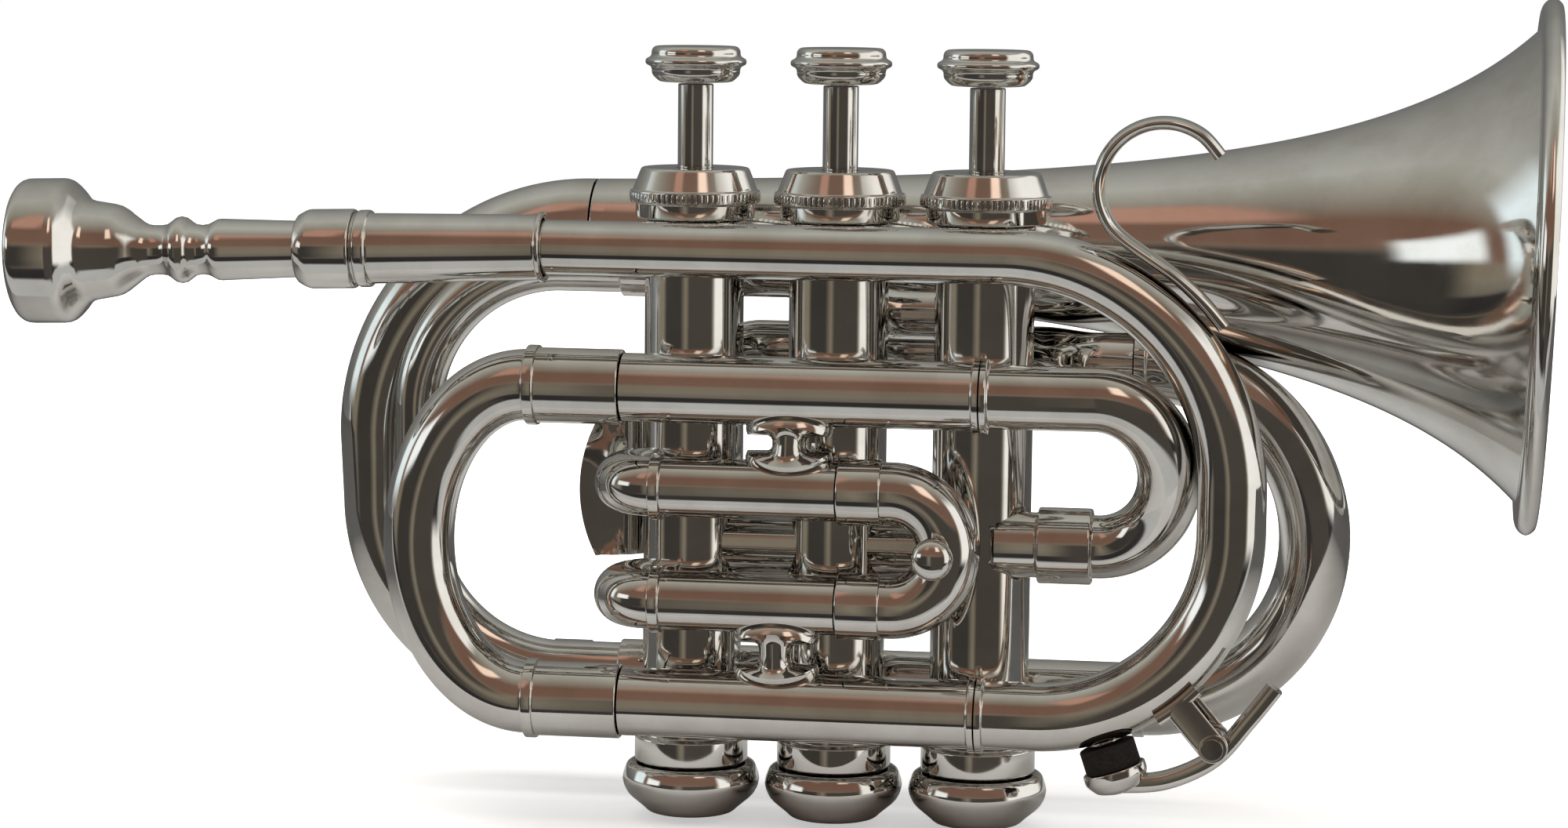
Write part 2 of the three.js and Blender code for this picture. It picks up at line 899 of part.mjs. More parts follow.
// The receiver is bored to the mouthpiece's taper up to the leadpipe, and to the leadpipe after it.
function shankRadiusAt(station) {
  const share = (station - mouthpiece.shankStart) / (mouthpiece.length - mouthpiece.shankStart);
  return THREE.MathUtils.lerp(mouthpiece.shankRadius, mouthpiece.shankEndRadius, share);
}
const receiverLength = (receiver.endX - receiver.startX) / Math.cos(droop);
const receiverOffset = (receiver.startX - mouthpiece.rimX) / Math.cos(droop);
const pipeStart = mouthpiece.length + leadpipe.shankGap;
const pipeStation = pipeStart - receiverOffset - fit.seam;
const receiverBeadEnd = receiver.beadStart + receiver.beadLength;
const receiverBody = turned([
  [shankRadiusAt(receiverOffset) + fit.seam, 0],
  [receiver.mouthRadius, 0],
  [receiver.ballRadius, receiver.ballRise],
  [receiver.ballRadius, receiver.ballEnd],
  [receiver.waistRadius, receiver.ballEnd],
  [receiver.waistRadius, receiver.beadStart],
  [receiver.beadRadius, receiver.beadStart],
  [receiver.beadRadius, receiverBeadEnd],
  [receiver.sleeveRadius, receiverBeadEnd],
  [receiver.sleeveEndRadius, receiverLength - receiver.endRingLength],
  [receiver.endRingRadius, receiverLength - receiver.endRingLength],
  [receiver.endRingRadius, receiverLength],
  [leadpipe.radius + fit.seam, receiverLength],
  [leadpipe.radius + fit.seam, pipeStation],
  [shankRadiusAt(receiverOffset + pipeStation) + fit.seam, pipeStation],
], facets.mouthpiece);
piece('mouthpiece_receiver', aimed(receiverBody, onDroop(receiver.startX), blow));

// Leadpipe and front bow, one drawn tube, with the water key's nipple on its lower bend.
const down = Z.clone().negate();
const lowerLevel = leadpipe.level - leadpipe.upperBend - leadpipe.drop - leadpipe.lowerBend;
const lowerBendX = leadpipe.upperBendX + leadpipe.upperBend - leadpipe.lowerBend;
const lowerBendZ = lowerLevel + leadpipe.lowerBend;
const pipeStartX = mouthpiece.rimX + pipeStart * Math.cos(droop);
const pipeRun = (mouthpiece.pivotX - pipeStartX) / Math.cos(droop);
const bowTube = new Tube(onDroop(pipeStartX), blow, leadpipe.radius).straight(pipeRun);
bowTube.end.heading.copy(X);
bowTube
  .straight(leadpipe.upperBendX - mouthpiece.pivotX)
  .bend(leadpipe.upperBend, 90, down, leadpipe.bowRadius)
  .straight(leadpipe.drop)
  .bend(leadpipe.lowerBend, 90, X.clone().negate(), leadpipe.endRadius)
  .straight(lowerBendX - mainSlide.rightX - fit.seam - leadpipe.ringLength)
  .step(leadpipe.ringRadius)
  .straight(leadpipe.ringLength);

const keyTurn = radians(waterKey.bowDegrees);
const keyOut = at(Math.sin(keyTurn), 0, -Math.cos(keyTurn));
const bendCentre = at(lowerBendX, planes.front, lowerBendZ);
const keySeat = bendCentre.clone().addScaledVector(keyOut, leadpipe.lowerBend);
const nipple = aimed(rod(waterKey.nippleRadius, leadpipe.bowRadius - wall, waterKey.nippleEnd, facets.small),
  keySeat, keyOut);
const nippleBore = aimed(rod(waterKey.nippleBore, 0, waterKey.nippleEnd + fit.overrun, facets.small),
  keySeat, keyOut);
piece('leadpipe_bow', bowTube.shell().add(nipple).subtract(nippleBore));

// Main slide: two outer tubes on the instrument and the crook that pulls out to the left.
const slideLength = mainSlide.rightX - mainSlide.leftX;
const slideLevels = { upper: mainSlide.upperLevel, lower: lowerLevel };
const mainInner = mainSlide.legRadius + fit.slide;
for (const [side, level] of Object.entries(slideLevels)) {
  const tube = new Tube(at(mainSlide.rightX, planes.front, level), X.clone().negate(),
    leadpipe.ringRadius, mainInner)
    .straight(leadpipe.ringLength)
    .step(mainSlide.radius, mainInner)
    .straight(slideLength - leadpipe.ringLength);
  piece(`${side}_slide_tube`, tube.shell());
}

// A slide's leg reaches as far into its outer tube as it travels, and a hold more.
const mainLeg = mainSlide.travel + mainSlide.hold;
const mainCrook = new Tube(
  at(mainSlide.leftX + mainLeg, planes.front, slideLevels.upper),
  X.clone().negate(), mainSlide.legRadius,
)
  .straight(mainLeg + fit.seam)
  .step(mainSlide.sleeveRadius)
  .straight(mainSlide.sleeveLength)
  .step(mainSlide.beadRadius)
  .straight(mainSlide.beadLength)
  .step(mainSlide.crookRadius, mainSlide.crookRadius - wall)
  .bow(mainSlide.crookDepth, at(0, 0, slideLevels.lower - slideLevels.upper))
  .step(mainSlide.beadRadius, mainSlide.legRadius - wall)
  .straight(mainSlide.beadLength)
  .step(mainSlide.sleeveRadius)
  .straight(mainSlide.sleeveLength)
  .step(mainSlide.legRadius)
  .straight(mainLeg + fit.seam);
piece('tuning_crook', mainCrook.shell());

// Small bow from the upper slide tube round into the third valve.
const smallAcross = at(0, smallBow.lowerPlane - planes.front, passLevel - mainSlide.upperLevel);
const smallTube = new Tube(
  at(mainSlide.rightX + fit.seam, planes.front, mainSlide.upperLevel),
  X, leadpipe.ringRadius, smallBow.radius - wall,
)
  .straight(leadpipe.ringLength)
  .step(smallBow.radius)
  .straight(smallBow.bendX - mainSlide.rightX - fit.seam - leadpipe.ringLength)
  .bow(smallBow.depth, smallAcross)
  .straight(smallBow.bendX - smallBow.ferruleStartX)
  .step(smallBow.ferruleRadius)
  .straight(smallBow.ferruleStartX - smallBow.ferruleEndX)
  .step(smallBow.stubRadius)
  .straight(smallBow.ferruleEndX - smallBow.stubEndX);
piece('small_bow', smallTube.shell().subtract(casingCutter(2)));

// A round pull knob on a neck, about +Z, whose foot is sunk to a depth below its seat.
function knob(radius, length, neck, sink) {
  return turned([
    [0, -sink],
    [neck, -sink],
    [neck, length / 4],
    [radius - length / 8, length / 4],
    [radius, length / 2],
    [radius, length * 3 / 4],
    [radius - length / 8, length],
    [0, length],
  ], facets.small);
}

// First valve slide: fixed tubes that turn back into the casing, and a crook that pulls right.
const firstLevels = { upper: firstSlide.upperLevel, lower: firstLower };
const firstInner = firstSlide.legRadius + fit.slide;
for (const [side, level] of Object.entries(firstLevels)) {
  const tube = new Tube(at(firstSlide.rightX, planes.firstSlide, level), X.clone().negate(),
    firstSlide.radius, firstInner)
    .straight(firstSlide.rightX - firstSlide.ringX)
    .ring(firstSlide.ringRadius, firstSlide.ringLength)
    .straight(firstSlide.ringX - firstSlide.ringLength - firstSlide.elbowX)
    .bow(firstSlide.elbowDepth, at(0, firstSlide.elbowSpan, 0))
    .straight(valveX[0] - firstSlide.elbowX);
  piece(`first_slide_${side}_tube`, tube.shell().subtract(casingCutter(0)));
}

const firstLeg = firstSlide.travel + firstSlide.hold;
const firstCrook = new Tube(
  at(firstSlide.rightX - firstLeg, planes.firstSlide, firstSlide.upperLevel),
  X, firstSlide.legRadius,
)
  .straight(firstLeg + fit.seam)
  .step(firstSlide.ferruleRadius)
  .straight(firstSlide.ferruleLength)
  .step(firstSlide.crookRadius)
  .straight(firstSlide.crookX - firstSlide.rightX - fit.seam - firstSlide.ferruleLength)
  .bow(firstSlide.span / 2, at(0, 0, -firstSlide.span))
  .straight(firstSlide.crookX - firstSlide.rightX - fit.seam - firstSlide.ferruleLength)
  .step(firstSlide.ferruleRadius)
  .straight(firstSlide.ferruleLength)
  .step(firstSlide.legRadius)
  .straight(firstLeg + fit.seam);
const firstMiddle = (firstSlide.upperLevel + firstLower) / 2;
const firstKnobX = firstSlide.crookX + firstSlide.span / 2 - firstSlide.knobNeck;
const firstKnob = aimed(
  knob(firstSlide.knobRadius, firstSlide.knobLength, firstSlide.knobNeck, wall + facets.sag),
  at(firstKnobX, planes.firstSlide - firstSlide.crookRadius, firstMiddle),
  Y.clone().negate(),
);
piece('first_slide_crook', firstCrook.shell().add(firstKnob));

// Second valve slide: two stubs behind the middle casing and a short crook that pulls away.
const secondLevels = { upper: secondSlide.upperLevel, lower: secondLower };
const secondInner = secondSlide.legRadius + fit.slide;
for (const [side, level] of Object.entries(secondLevels)) {
  const stub = new Tube(at(0, 0, level), Y, secondSlide.radius, secondInner)
    .straight(secondSlide.stubEnd)
    .shell(facets.slimTube);
  piece(`second_slide_${side}_stub`, stub.subtract(casingCutter(1)));
}
const secondLeg = secondSlide.travel + secondSlide.hold;
const secondCrook = new Tube(
  at(0, secondSlide.stubEnd - secondLeg, secondSlide.upperLevel), Y, secondSlide.legRadius,
)
  .straight(secondLeg + fit.seam)
  .step(secondSlide.ferruleRadius)
  .straight(secondSlide.ferruleLength)
  .step(secondSlide.crookRadius)
  .bow(secondSlide.span / 2, at(0, 0, -secondSlide.span))
  .step(secondSlide.ferruleRadius)
  .straight(secondSlide.ferruleLength)
  .step(secondSlide.legRadius)
  .straight(secondLeg + fit.seam)
  .shell(facets.slimTube);
const secondKnobY = secondSlide.stubEnd + fit.seam + secondSlide.ferruleLength
  + secondSlide.span / 2 + secondSlide.crookRadius;
const secondKnob = aimed(
  knob(secondSlide.knobRadius, secondSlide.knobLength, secondSlide.knobNeck, wall + facets.sag),
  at(0, secondKnobY, (secondSlide.upperLevel + secondLower) / 2), Y,
);
piece('second_slide_crook', secondCrook.add(secondKnob));

// Third valve slide: fixed tubes behind the casings and a wide crook that pulls left.
const thirdLower = thirdSlide.upperLevel - thirdSlide.span;
const thirdInner = thirdSlide.legRadius + fit.slide;
const thirdTurnX = valve.spacing - thirdSlide.elbow;
const knuckleEnd = planes.thirdSlide - thirdSlide.knuckle;

function thirdTube(level, name, lay) {
  const tube = new Tube(at(thirdSlide.leftX, planes.thirdSlide, level), X, thirdSlide.radius, thirdInner);
  lay(tube);
  tube.straight(knuckleEnd);
  piece(name, tube.shell(facets.slimTube).subtract(casingCutter(2)));
}

const rampEndX = thirdSlide.rampStartX + thirdSlide.rampLength;
thirdTube(thirdSlide.upperLevel, 'third_slide_upper_tube', (tube) => tube
  .straight(thirdSlide.rampStartX - thirdSlide.leftX)
  .sway(thirdSlide.rampLength, at(0, 0, thirdSlide.lowLevel - thirdSlide.upperLevel))
  .straight(thirdTurnX - rampEndX)
  .bend(thirdSlide.elbow, 90, down)
  .straight(thirdSlide.lowLevel - thirdSlide.elbow - thirdSlide.knuckle - thirdSlide.upperPort)
  .bend(thirdSlide.knuckle, 90, Y.clone().negate()));
thirdTube(thirdLower, 'third_slide_lower_tube', (tube) => tube
  .straight(thirdTurnX - thirdSlide.leftX)
  .bend(thirdSlide.elbow, 90, Z)
  .straight(thirdSlide.lowerPort - thirdSlide.knuckle - thirdLower - thirdSlide.elbow)
  .bend(thirdSlide.knuckle, 90, Y.clone().negate()));

const left = X.clone().negate();
const thirdRun = thirdSlide.leftX - fit.seam - thirdSlide.ferruleLength - thirdSlide.crookX;
const thirdLeg = thirdSlide.travel + thirdSlide.hold;
const thirdCrook = new Tube(
  at(thirdSlide.leftX + thirdLeg, planes.thirdSlide, thirdSlide.upperLevel),
  left, thirdSlide.legRadius,
)
  .straight(thirdLeg + fit.seam)
  .step(thirdSlide.ferruleRadius)
  .straight(thirdSlide.ferruleLength)
  .step(thirdSlide.crookRadius)
  .straight(thirdRun)
  .bend(thirdSlide.crookBend, 90, down)
  .straight(thirdSlide.span - 2 * thirdSlide.crookBend)
  .bend(thirdSlide.crookBend, 90, X)
  .straight(thirdRun)
  .step(thirdSlide.ferruleRadius)
  .straight(thirdSlide.ferruleLength)
  .step(thirdSlide.legRadius)
  .straight(thirdLeg + fit.seam);
piece('third_slide_crook', thirdCrook.shell(facets.slimTube));

// Middle tube: out of the first valve's back, up, and right to the back bow.
const middleEndX = rightBow.bendX - rightBow.ringLength;
const middle = new Tube(at(valveX[0], 0, passLevel), Y, middleTube.radius)
  .straight(planes.middleTube - middleTube.rise)
  .bend(middleTube.rise, 90, Z)
  .straight(middleTube.level - passLevel - middleTube.rise - middleTube.elbow)
  .bend(middleTube.elbow, 90, X)
  .straight(middleTube.swayStartX - valveX[0] - middleTube.elbow)
  .sway(middleTube.swayLength, at(0, planes.rightBow - planes.middleTube, 0))
  .straight(middleEndX - middleTube.swayStartX - middleTube.swayLength);
piece('middle_tube', middle.shell().subtract(casingCutter(0)));

const backAcross = at(0, planes.bell - planes.rightBow, bottomTube.level - middleTube.level);
const backBow = new Tube(at(middleEndX + fit.seam, planes.rightBow, middleTube.level), X,
  rightBow.ringRadius, rightBow.radius - wall)
  .straight(rightBow.ringLength - fit.seam)
  .step(rightBow.radius)
  .bow(rightBow.depth, backAcross)
  .step(rightBow.ringRadius)
  .straight(rightBow.ringLength - fit.seam);
piece('right_back_bow', backBow.shell());

// Bottom back tube and the bell bow that climbs the left end.
const cornerX = bellBow.leftX + bellBow.lowerBend;
const bottomRun = rightBow.bendX - rightBow.ringLength - cornerX;
const bottomLeft = new Tube(at(rightBow.bendX - rightBow.ringLength, planes.bell, bottomTube.level),
  left, bottomTube.radius)
  .straight(bottomRun - bottomTube.ringRadius, bottomTube.leftRadius)
  .step(bottomTube.ringRadius)
  .straight(bottomTube.ringRadius - fit.seam);
piece('bottom_back_tube', bottomLeft.shell());

const bellDroop = radians(bell.droopDegrees);
const tail = new Tube(at(cornerX, planes.bell, bottomTube.level), left, bottomTube.leftRadius)
  .bend(bellBow.lowerBend, 90, Z, bellBow.cornerRadius)
  .straight(bellBow.rise, bellBow.sideRadius)
  .bend(bellBow.upperBend, 90 + bell.droopDegrees, X, bellBow.topRadius);
piece('bell_bow', tail.shell());

// Bell, spun about its axis from the bow's end to the rim, with a wired edge.
const bellAxis = at(Math.cos(bellDroop), 0, -Math.sin(bellDroop));
const bellStart = tail.end.place.clone().addScaledVector(bellAxis, fit.seam);
const bellLength = (bell.rimX - bellStart.x) / Math.cos(bellDroop);
const flareEnd = bellLength - bell.beadLength;
const flareRadius = bell.rimRadius - bell.beadRise;

// The flare's radius grows as one over the distance to a point beyond the rim, from the bow's end on.
const flarePull = bellBow.topRadius / (flareRadius - bellBow.topRadius);
const bellEdge = [];
for (let i = 0; i <= facets.bellSteps; i++) {
  const share = 1 - (1 - i / facets.bellSteps) ** 2;
  bellEdge.push([flareRadius * flarePull / (1 - share + flarePull), share * flareEnd]);
}
const bellInside = bellEdge.map(([radius, height]) => [radius - bell.wall, height]).reverse();
const bellBody = turned([
  ...bellEdge,
  [bell.rimRadius - bell.beadEdge, flareEnd],
  [bell.rimRadius, flareEnd + bell.beadEdge],
  [bell.rimRadius, bellLength - bell.beadEdge],
  [bell.rimRadius - bell.beadEdge, bellLength],
  ...bellInside,
], facets.bell);
piece('bell', aimed(bellBody, bellStart, bellAxis));

// The space that the bell's outside takes, grown by the seam, for braces that seat on it.
const bellSpace = aimed(turned([
  [0, 0],
  ...bellEdge.map(([radius, height]) => [radius + fit.seam, height]),
  [0, flareEnd],
], facets.bell), bellStart, bellAxis);

// Struts that carry the bell on the outer casings, and the leadpipe in front of them.
function bellStrut(name, index, level) {
  const bellY = planes.bell - fit.seam;
  const body = turned([
    [0, 0],
    [strut.flangeRadius, 0],
    [strut.flangeRadius, valve.casingRadius + fit.seam + strut.flangeLength],
    [strut.postRadius, valve.casingRadius + fit.seam + strut.flangeLength],
    [strut.postRadius, bellY],
    [0, bellY],
  ], facets.small);
  const placed = aimed(body, at(valveX[index], 0, level), Y);
  piece(name, placed.subtract(casingCutter(index)).subtract(bellSpace));
}
bellStrut('bell_strut_left', 0, strut.leftLevel);
bellStrut('bell_strut_right', 2, strut.rightLevel);

function leadpipeStrut(name, index) {
  const pipeSpace = new Tube(at(mouthpiece.pivotX, planes.front, leadpipe.level), X,
    leadpipe.radius + fit.seam).straight(leadpipe.upperBendX - mouthpiece.pivotX).core();
  const body = aimed(rod(strut.flangeRadius, 0, -planes.front, facets.small),
    at(valveX[index], 0, leadpipe.level), Y.clone().negate());
  piece(name, body.subtract(casingCutter(index)).subtract(pipeSpace));
}
leadpipeStrut('leadpipe_strut_left', 0);
leadpipeStrut('leadpipe_strut_right', 2);

// Spools with saddle ends between a main slide tube and the first slide tube beside it.
function spoolBrace(name, x, lowTube, highTube) {
  const from = lowTube.level + lowTube.radius - spool.seatDepth;
  const to = highTube.level - highTube.radius + spool.seatDepth;
  const flare = spool.seatDepth + spool.saddleHeight;
  const waistShare = (spool.postRadius + spool.saddleRadius) / 2;
  const body = turned([
    [0, from],
    [spool.saddleRadius, from],
    [waistShare, from + flare],
    [spool.postRadius, from + flare + spool.saddleHeight],
    [spool.postRadius, to - flare - spool.saddleHeight],
    [waistShare, to - flare],
    [spool.saddleRadius, to],
    [0, to],
  ], facets.mouthpiece).translate([x, (planes.front + planes.firstSlide) / 2, 0]);
  const space = ({ radius, level, plane }) => new Tube(
    at(x - fit.overrun - spool.saddleRadius, plane, level), X, radius + fit.seam,
  ).straight(2 * (fit.overrun + spool.saddleRadius)).core();
  piece(name, body.subtract(space(lowTube)).subtract(space(highTube)));
}
const tubes = {
  upperMain: { radius: mainSlide.radius, level: slideLevels.upper, plane: planes.front },
  lowerMain: { radius: mainSlide.radius, level: slideLevels.lower, plane: planes.front },
  upperFirst: { radius: firstSlide.radius, level: firstLevels.upper, plane: planes.firstSlide },
  lowerFirst: { radius: firstSlide.radius, level: firstLevels.lower, plane: planes.firstSlide },
};
spoolBrace('upper_spool_brace', spool.upperX, tubes.upperFirst, tubes.upperMain);
spoolBrace('lower_spool_brace', spool.lowerX, tubes.lowerMain, tubes.lowerFirst);

// Finger hook: a flat strip curled over, whose foot lies along the bow's outer edge.
const footRadius = leadpipe.upperBend + leadpipe.bowRadius + fit.seam + hook.thickness / 2;
const upperBendZ = leadpipe.level - leadpipe.upperBend;

function onCircle(centreX, centreZ, radius, degrees) {
  return [centreX + radius * Math.cos(radians(degrees)), centreZ + radius * Math.sin(radians(degrees))];
}

function arcPoints(centreX, centreZ, radius, from, to, steps) {
  const points = [];
  for (let i = 0; i <= steps; i++) {
    points.push(onCircle(centreX, centreZ, radius, THREE.MathUtils.lerp(from, to, i / steps)));
  }
  return points;
}
const hookPoints = [
  ...arcPoints(hook.centreX, hook.centreZ, hook.radius, hook.tipDegrees, hook.neckDegrees, 6),
  ...arcPoints(leadpipe.upperBendX, upperBendZ, footRadius, hook.footStartDegrees, hook.footEndDegrees, 3),
];
piece('finger_hook', strip(hookPoints, hook.thickness, hook.width, planes.front, 26));

// Thumb saddle: a trough with an upright axis, open to the left, on a foot that seats on the first casing.
function trough(radius, spare) {
  const low = thumbSaddle.bottom - spare;
  const high = thumbSaddle.top + spare;
  const edge = thumbSaddle.edgeX - spare;
  const round = rod(radius, low, high, facets.valve).translate([thumbSaddle.axisX, thumbSaddle.plane, 0]);
  const cheeks = [[edge, low], [thumbSaddle.axisX, low], [thumbSaddle.axisX, high], [edge, high]];
  return round.add(plate(cheeks, 2 * radius, thumbSaddle.plane));
}
const troughSpace = trough(thumbSaddle.radius, fit.overrun);
const troughRadius = thumbSaddle.radius + thumbSaddle.thickness;
const edgeDisc = aimed(
  rod(thumbSaddle.edgeRadius, -troughRadius - fit.overrun, troughRadius + fit.overrun, facets.bell),
  at(thumbSaddle.edgeX + thumbSaddle.edgeRadius, thumbSaddle.plane,
    (thumbSaddle.top + thumbSaddle.bottom) / 2),
  Y,
);
const toTrough = at(thumbSaddle.axisX - valveX[0], thumbSaddle.plane, 0);
const footLength = toTrough.length() - thumbSaddle.radius - thumbSaddle.thickness / 2;
const saddleFoot = aimed(
  rod(thumbSaddle.footRadius, 0, footLength, facets.small),
  at(valveX[0], 0, thumbSaddle.footLevel), toTrough,
).subtract(casingCutter(0));
const saddlePlate = trough(troughRadius, 0).intersect(edgeDisc).subtract(troughSpace);
piece('thumb_saddle', saddlePlate.add(saddleFoot));

// Water key: saddle and ears on the bow, lever on a screw, cup, cork and spring.
const pivot = at(waterKey.pivotX, planes.front, waterKey.pivotZ);
const earOut = pivot.clone().sub(bendCentre).normalize();
const pivotRadius = pivot.distanceTo(bendCentre);
const earTurn = Math.atan2(earOut.z, earOut.x);
const bowSurface = leadpipe.lowerBend + leadpipe.endRadius;
const saddleHalf = waterKey.saddleLength / 2 / bowSurface;
const saddleInner = bowSurface - leadpipe.endRadius / 3;
const saddleOuter = bowSurface + waterKey.saddleThickness;
const sector = (radius, side) => [
  lowerBendX + radius * Math.cos(earTurn + side * saddleHalf),
  lowerBendZ + radius * Math.sin(earTurn + side * saddleHalf),
];
const base = plate([
  sector(saddleInner, -1), sector(saddleOuter, -1), sector(saddleOuter, 1), sector(saddleInner, 1),
], waterKey.earGap + 2 * waterKey.earThickness, planes.front);
const across = at(-earOut.z, 0, earOut.x);
const earOutline = [
  [saddleInner - pivotRadius, -1], [saddleInner - pivotRadius, 1],
  [0, 1], [waterKey.earRadius, 1 / 3], [waterKey.earRadius, -1 / 3], [0, -1],
].map(([run, share]) => [
  pivot.x + earOut.x * run + across.x * share * waterKey.earRadius,
  pivot.z + earOut.z * run + across.z * share * waterKey.earRadius,
]);
const screwHole = aimed(rod(waterKey.screwRadius + fit.slide / 3, -waterKey.earGap, waterKey.earGap, facets.small),
  pivot, Y);
let saddle = base;
for (const side of [-1, 1]) {
  const offset = side * (waterKey.earGap + waterKey.earThickness) / 2;
  saddle = saddle.add(plate(earOutline, waterKey.earThickness, planes.front + offset));
}
const bowSpace = new Tube(at(leadpipe.upperBendX + leadpipe.upperBend, planes.front, lowerBendZ), down,
  leadpipe.endRadius + fit.seam).bend(leadpipe.lowerBend, 90, left).core();
piece('water_key_saddle', saddle.subtract(bowSpace).subtract(screwHole));

const screwHalf = waterKey.earGap / 2 + waterKey.earThickness;
const screw = turned([
  [0, -screwHalf],
  [waterKey.screwRadius, -screwHalf],
  [waterKey.screwRadius, screwHalf + fit.seam],
  [waterKey.headRadius, screwHalf + fit.seam],
  [waterKey.headRadius, screwHalf + fit.seam + waterKey.headHeight],
  [0, screwHalf + fit.seam + waterKey.headHeight],
], facets.small);
piece('water_key_screw', aimed(screw, pivot, Y.clone().negate()), materials.steel);

const corkBase = waterKey.nippleEnd + fit.seam;
const corkTop = corkBase + waterKey.corkHeight;
const cork = rod(waterKey.corkRadius, corkBase, corkTop, facets.small);
piece('water_key_cork', aimed(cork, keySeat, keyOut), materials.cork);

const cupFloor = corkTop + fit.seam;
const cupTop = cupFloor + waterKey.cupHeight;
const cup = aimed(turned([
  [0, cupFloor],
  [waterKey.corkRadius + fit.seam, cupFloor],
  [waterKey.corkRadius + fit.seam, cupFloor - waterKey.cupLip],
  [waterKey.cupRadius, cupFloor - waterKey.cupLip],
  [waterKey.cupRadius, cupFloor + waterKey.cupHeight / 3],
  [waterKey.cupRadius * 3 / 4, cupTop - waterKey.cupHeight / 5],
  [waterKey.cupRadius / 3, cupTop],
  [0, cupTop],
], facets.small), keySeat, keyOut);
const cupEnd = keySeat.clone().addScaledVector(keyOut, cupTop - waterKey.armThickness / 2);
const underBarrel = pivot.clone().add(at(0, 0, -waterKey.barrelRadius));
const touchRadius = pivotRadius + waterKey.barrelRadius - waterKey.armThickness / 2;
const touch = [1 / 2, 1].map((share) => bendCentre.clone().addScaledVector(
  earOut.clone().applyAxisAngle(Y, -share * radians(waterKey.touchDegrees)), touchRadius,
));
const armMiddle = cupEnd.clone().lerp(underBarrel, 1 / 2).add(at(0, 0, -waterKey.armThickness / 2));
const arm = strip(
  [cupEnd, armMiddle, underBarrel, ...touch].map(({ x, z }) => [x, z]),
  waterKey.armThickness, waterKey.armWidth, planes.front, 16,
);
const barrelFrom = -waterKey.earGap / 2 + fit.seam;
const barrel = aimed(rod(waterKey.barrelRadius, barrelFrom, barrelFrom + waterKey.barrelLength, facets.small),
  pivot, Y);
const springFrom = barrelFrom + waterKey.barrelLength + fit.seam;
const springTo = waterKey.earGap / 2 - fit.seam;
const springSpace = aimed(
  rod(waterKey.springRadius + waterKey.springWire + fit.seam, springFrom - fit.seam, springTo + fit.seam,
    facets.small), pivot, Y);
piece('water_key_lever', cup.add(arm).add(barrel).subtract(screwHole).subtract(springSpace));

const keySpring = helix(
  'water_key_spring', waterKey.springRadius, waterKey.springWire, waterKey.springCurls, springFrom, springTo,
);
piece('water_key_spring', aimed(keySpring, pivot, Y), materials.steel);

export default trumpet;
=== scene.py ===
import bisect
import json
import math
from types import SimpleNamespace as Sizes

import bmesh
import bpy
from mathutils import Matrix, Vector


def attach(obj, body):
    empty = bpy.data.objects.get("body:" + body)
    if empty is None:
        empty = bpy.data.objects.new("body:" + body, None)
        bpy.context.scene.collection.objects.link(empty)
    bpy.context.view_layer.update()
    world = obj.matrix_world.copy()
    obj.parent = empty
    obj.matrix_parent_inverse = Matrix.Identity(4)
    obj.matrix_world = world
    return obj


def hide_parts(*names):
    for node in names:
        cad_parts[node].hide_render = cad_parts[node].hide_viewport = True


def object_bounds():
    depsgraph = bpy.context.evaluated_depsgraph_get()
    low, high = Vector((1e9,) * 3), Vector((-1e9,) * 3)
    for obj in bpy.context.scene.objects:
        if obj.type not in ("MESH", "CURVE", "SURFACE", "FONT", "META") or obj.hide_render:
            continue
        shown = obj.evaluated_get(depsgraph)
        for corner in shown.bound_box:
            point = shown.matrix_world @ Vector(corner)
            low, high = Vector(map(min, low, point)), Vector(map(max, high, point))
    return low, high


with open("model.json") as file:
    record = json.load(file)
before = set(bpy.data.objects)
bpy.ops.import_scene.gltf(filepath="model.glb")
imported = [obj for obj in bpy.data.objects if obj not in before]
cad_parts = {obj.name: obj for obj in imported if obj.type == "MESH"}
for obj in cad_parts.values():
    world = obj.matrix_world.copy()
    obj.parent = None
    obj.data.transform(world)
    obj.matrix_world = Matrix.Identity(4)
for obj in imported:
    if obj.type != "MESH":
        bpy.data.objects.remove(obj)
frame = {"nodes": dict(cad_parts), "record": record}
cad_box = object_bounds()

# Dimensions are in millimetres and degrees, and turn into metres where a mesh is made.
MM = 0.001

# Camera

CAMERA = Sizes(
    place=(101.86, -728.92, 100.8), yaw=8.71, pitch=6.75, roll=0.56, lens=93.79, sensor=36,
)


def new_object(name, data):
    made = bpy.data.objects.new(name, data)
    bpy.context.scene.collection.objects.link(made)
    return made


def add_camera():
    """The photograph's viewpoint: turned from +Y towards -X by the yaw, and down by the pitch."""
    yaw, pitch, roll = map(math.radians, (CAMERA.yaw, CAMERA.pitch, CAMERA.roll))
    data = bpy.data.cameras.new("camera")
    data.lens = CAMERA.lens
    data.sensor_width = CAMERA.sensor
    camera = new_object("camera", data)
    camera.matrix_world = (
        Matrix.Translation(Vector(CAMERA.place) * MM) @ Matrix.Rotation(yaw, 4, "Z")
        @ Matrix.Rotation(math.pi / 2 - pitch, 4, "X") @ Matrix.Rotation(roll, 4, "Z")
    )
    bpy.context.scene.camera = camera


# Driving dimensions: those of the solids, with a few eased to what is seen

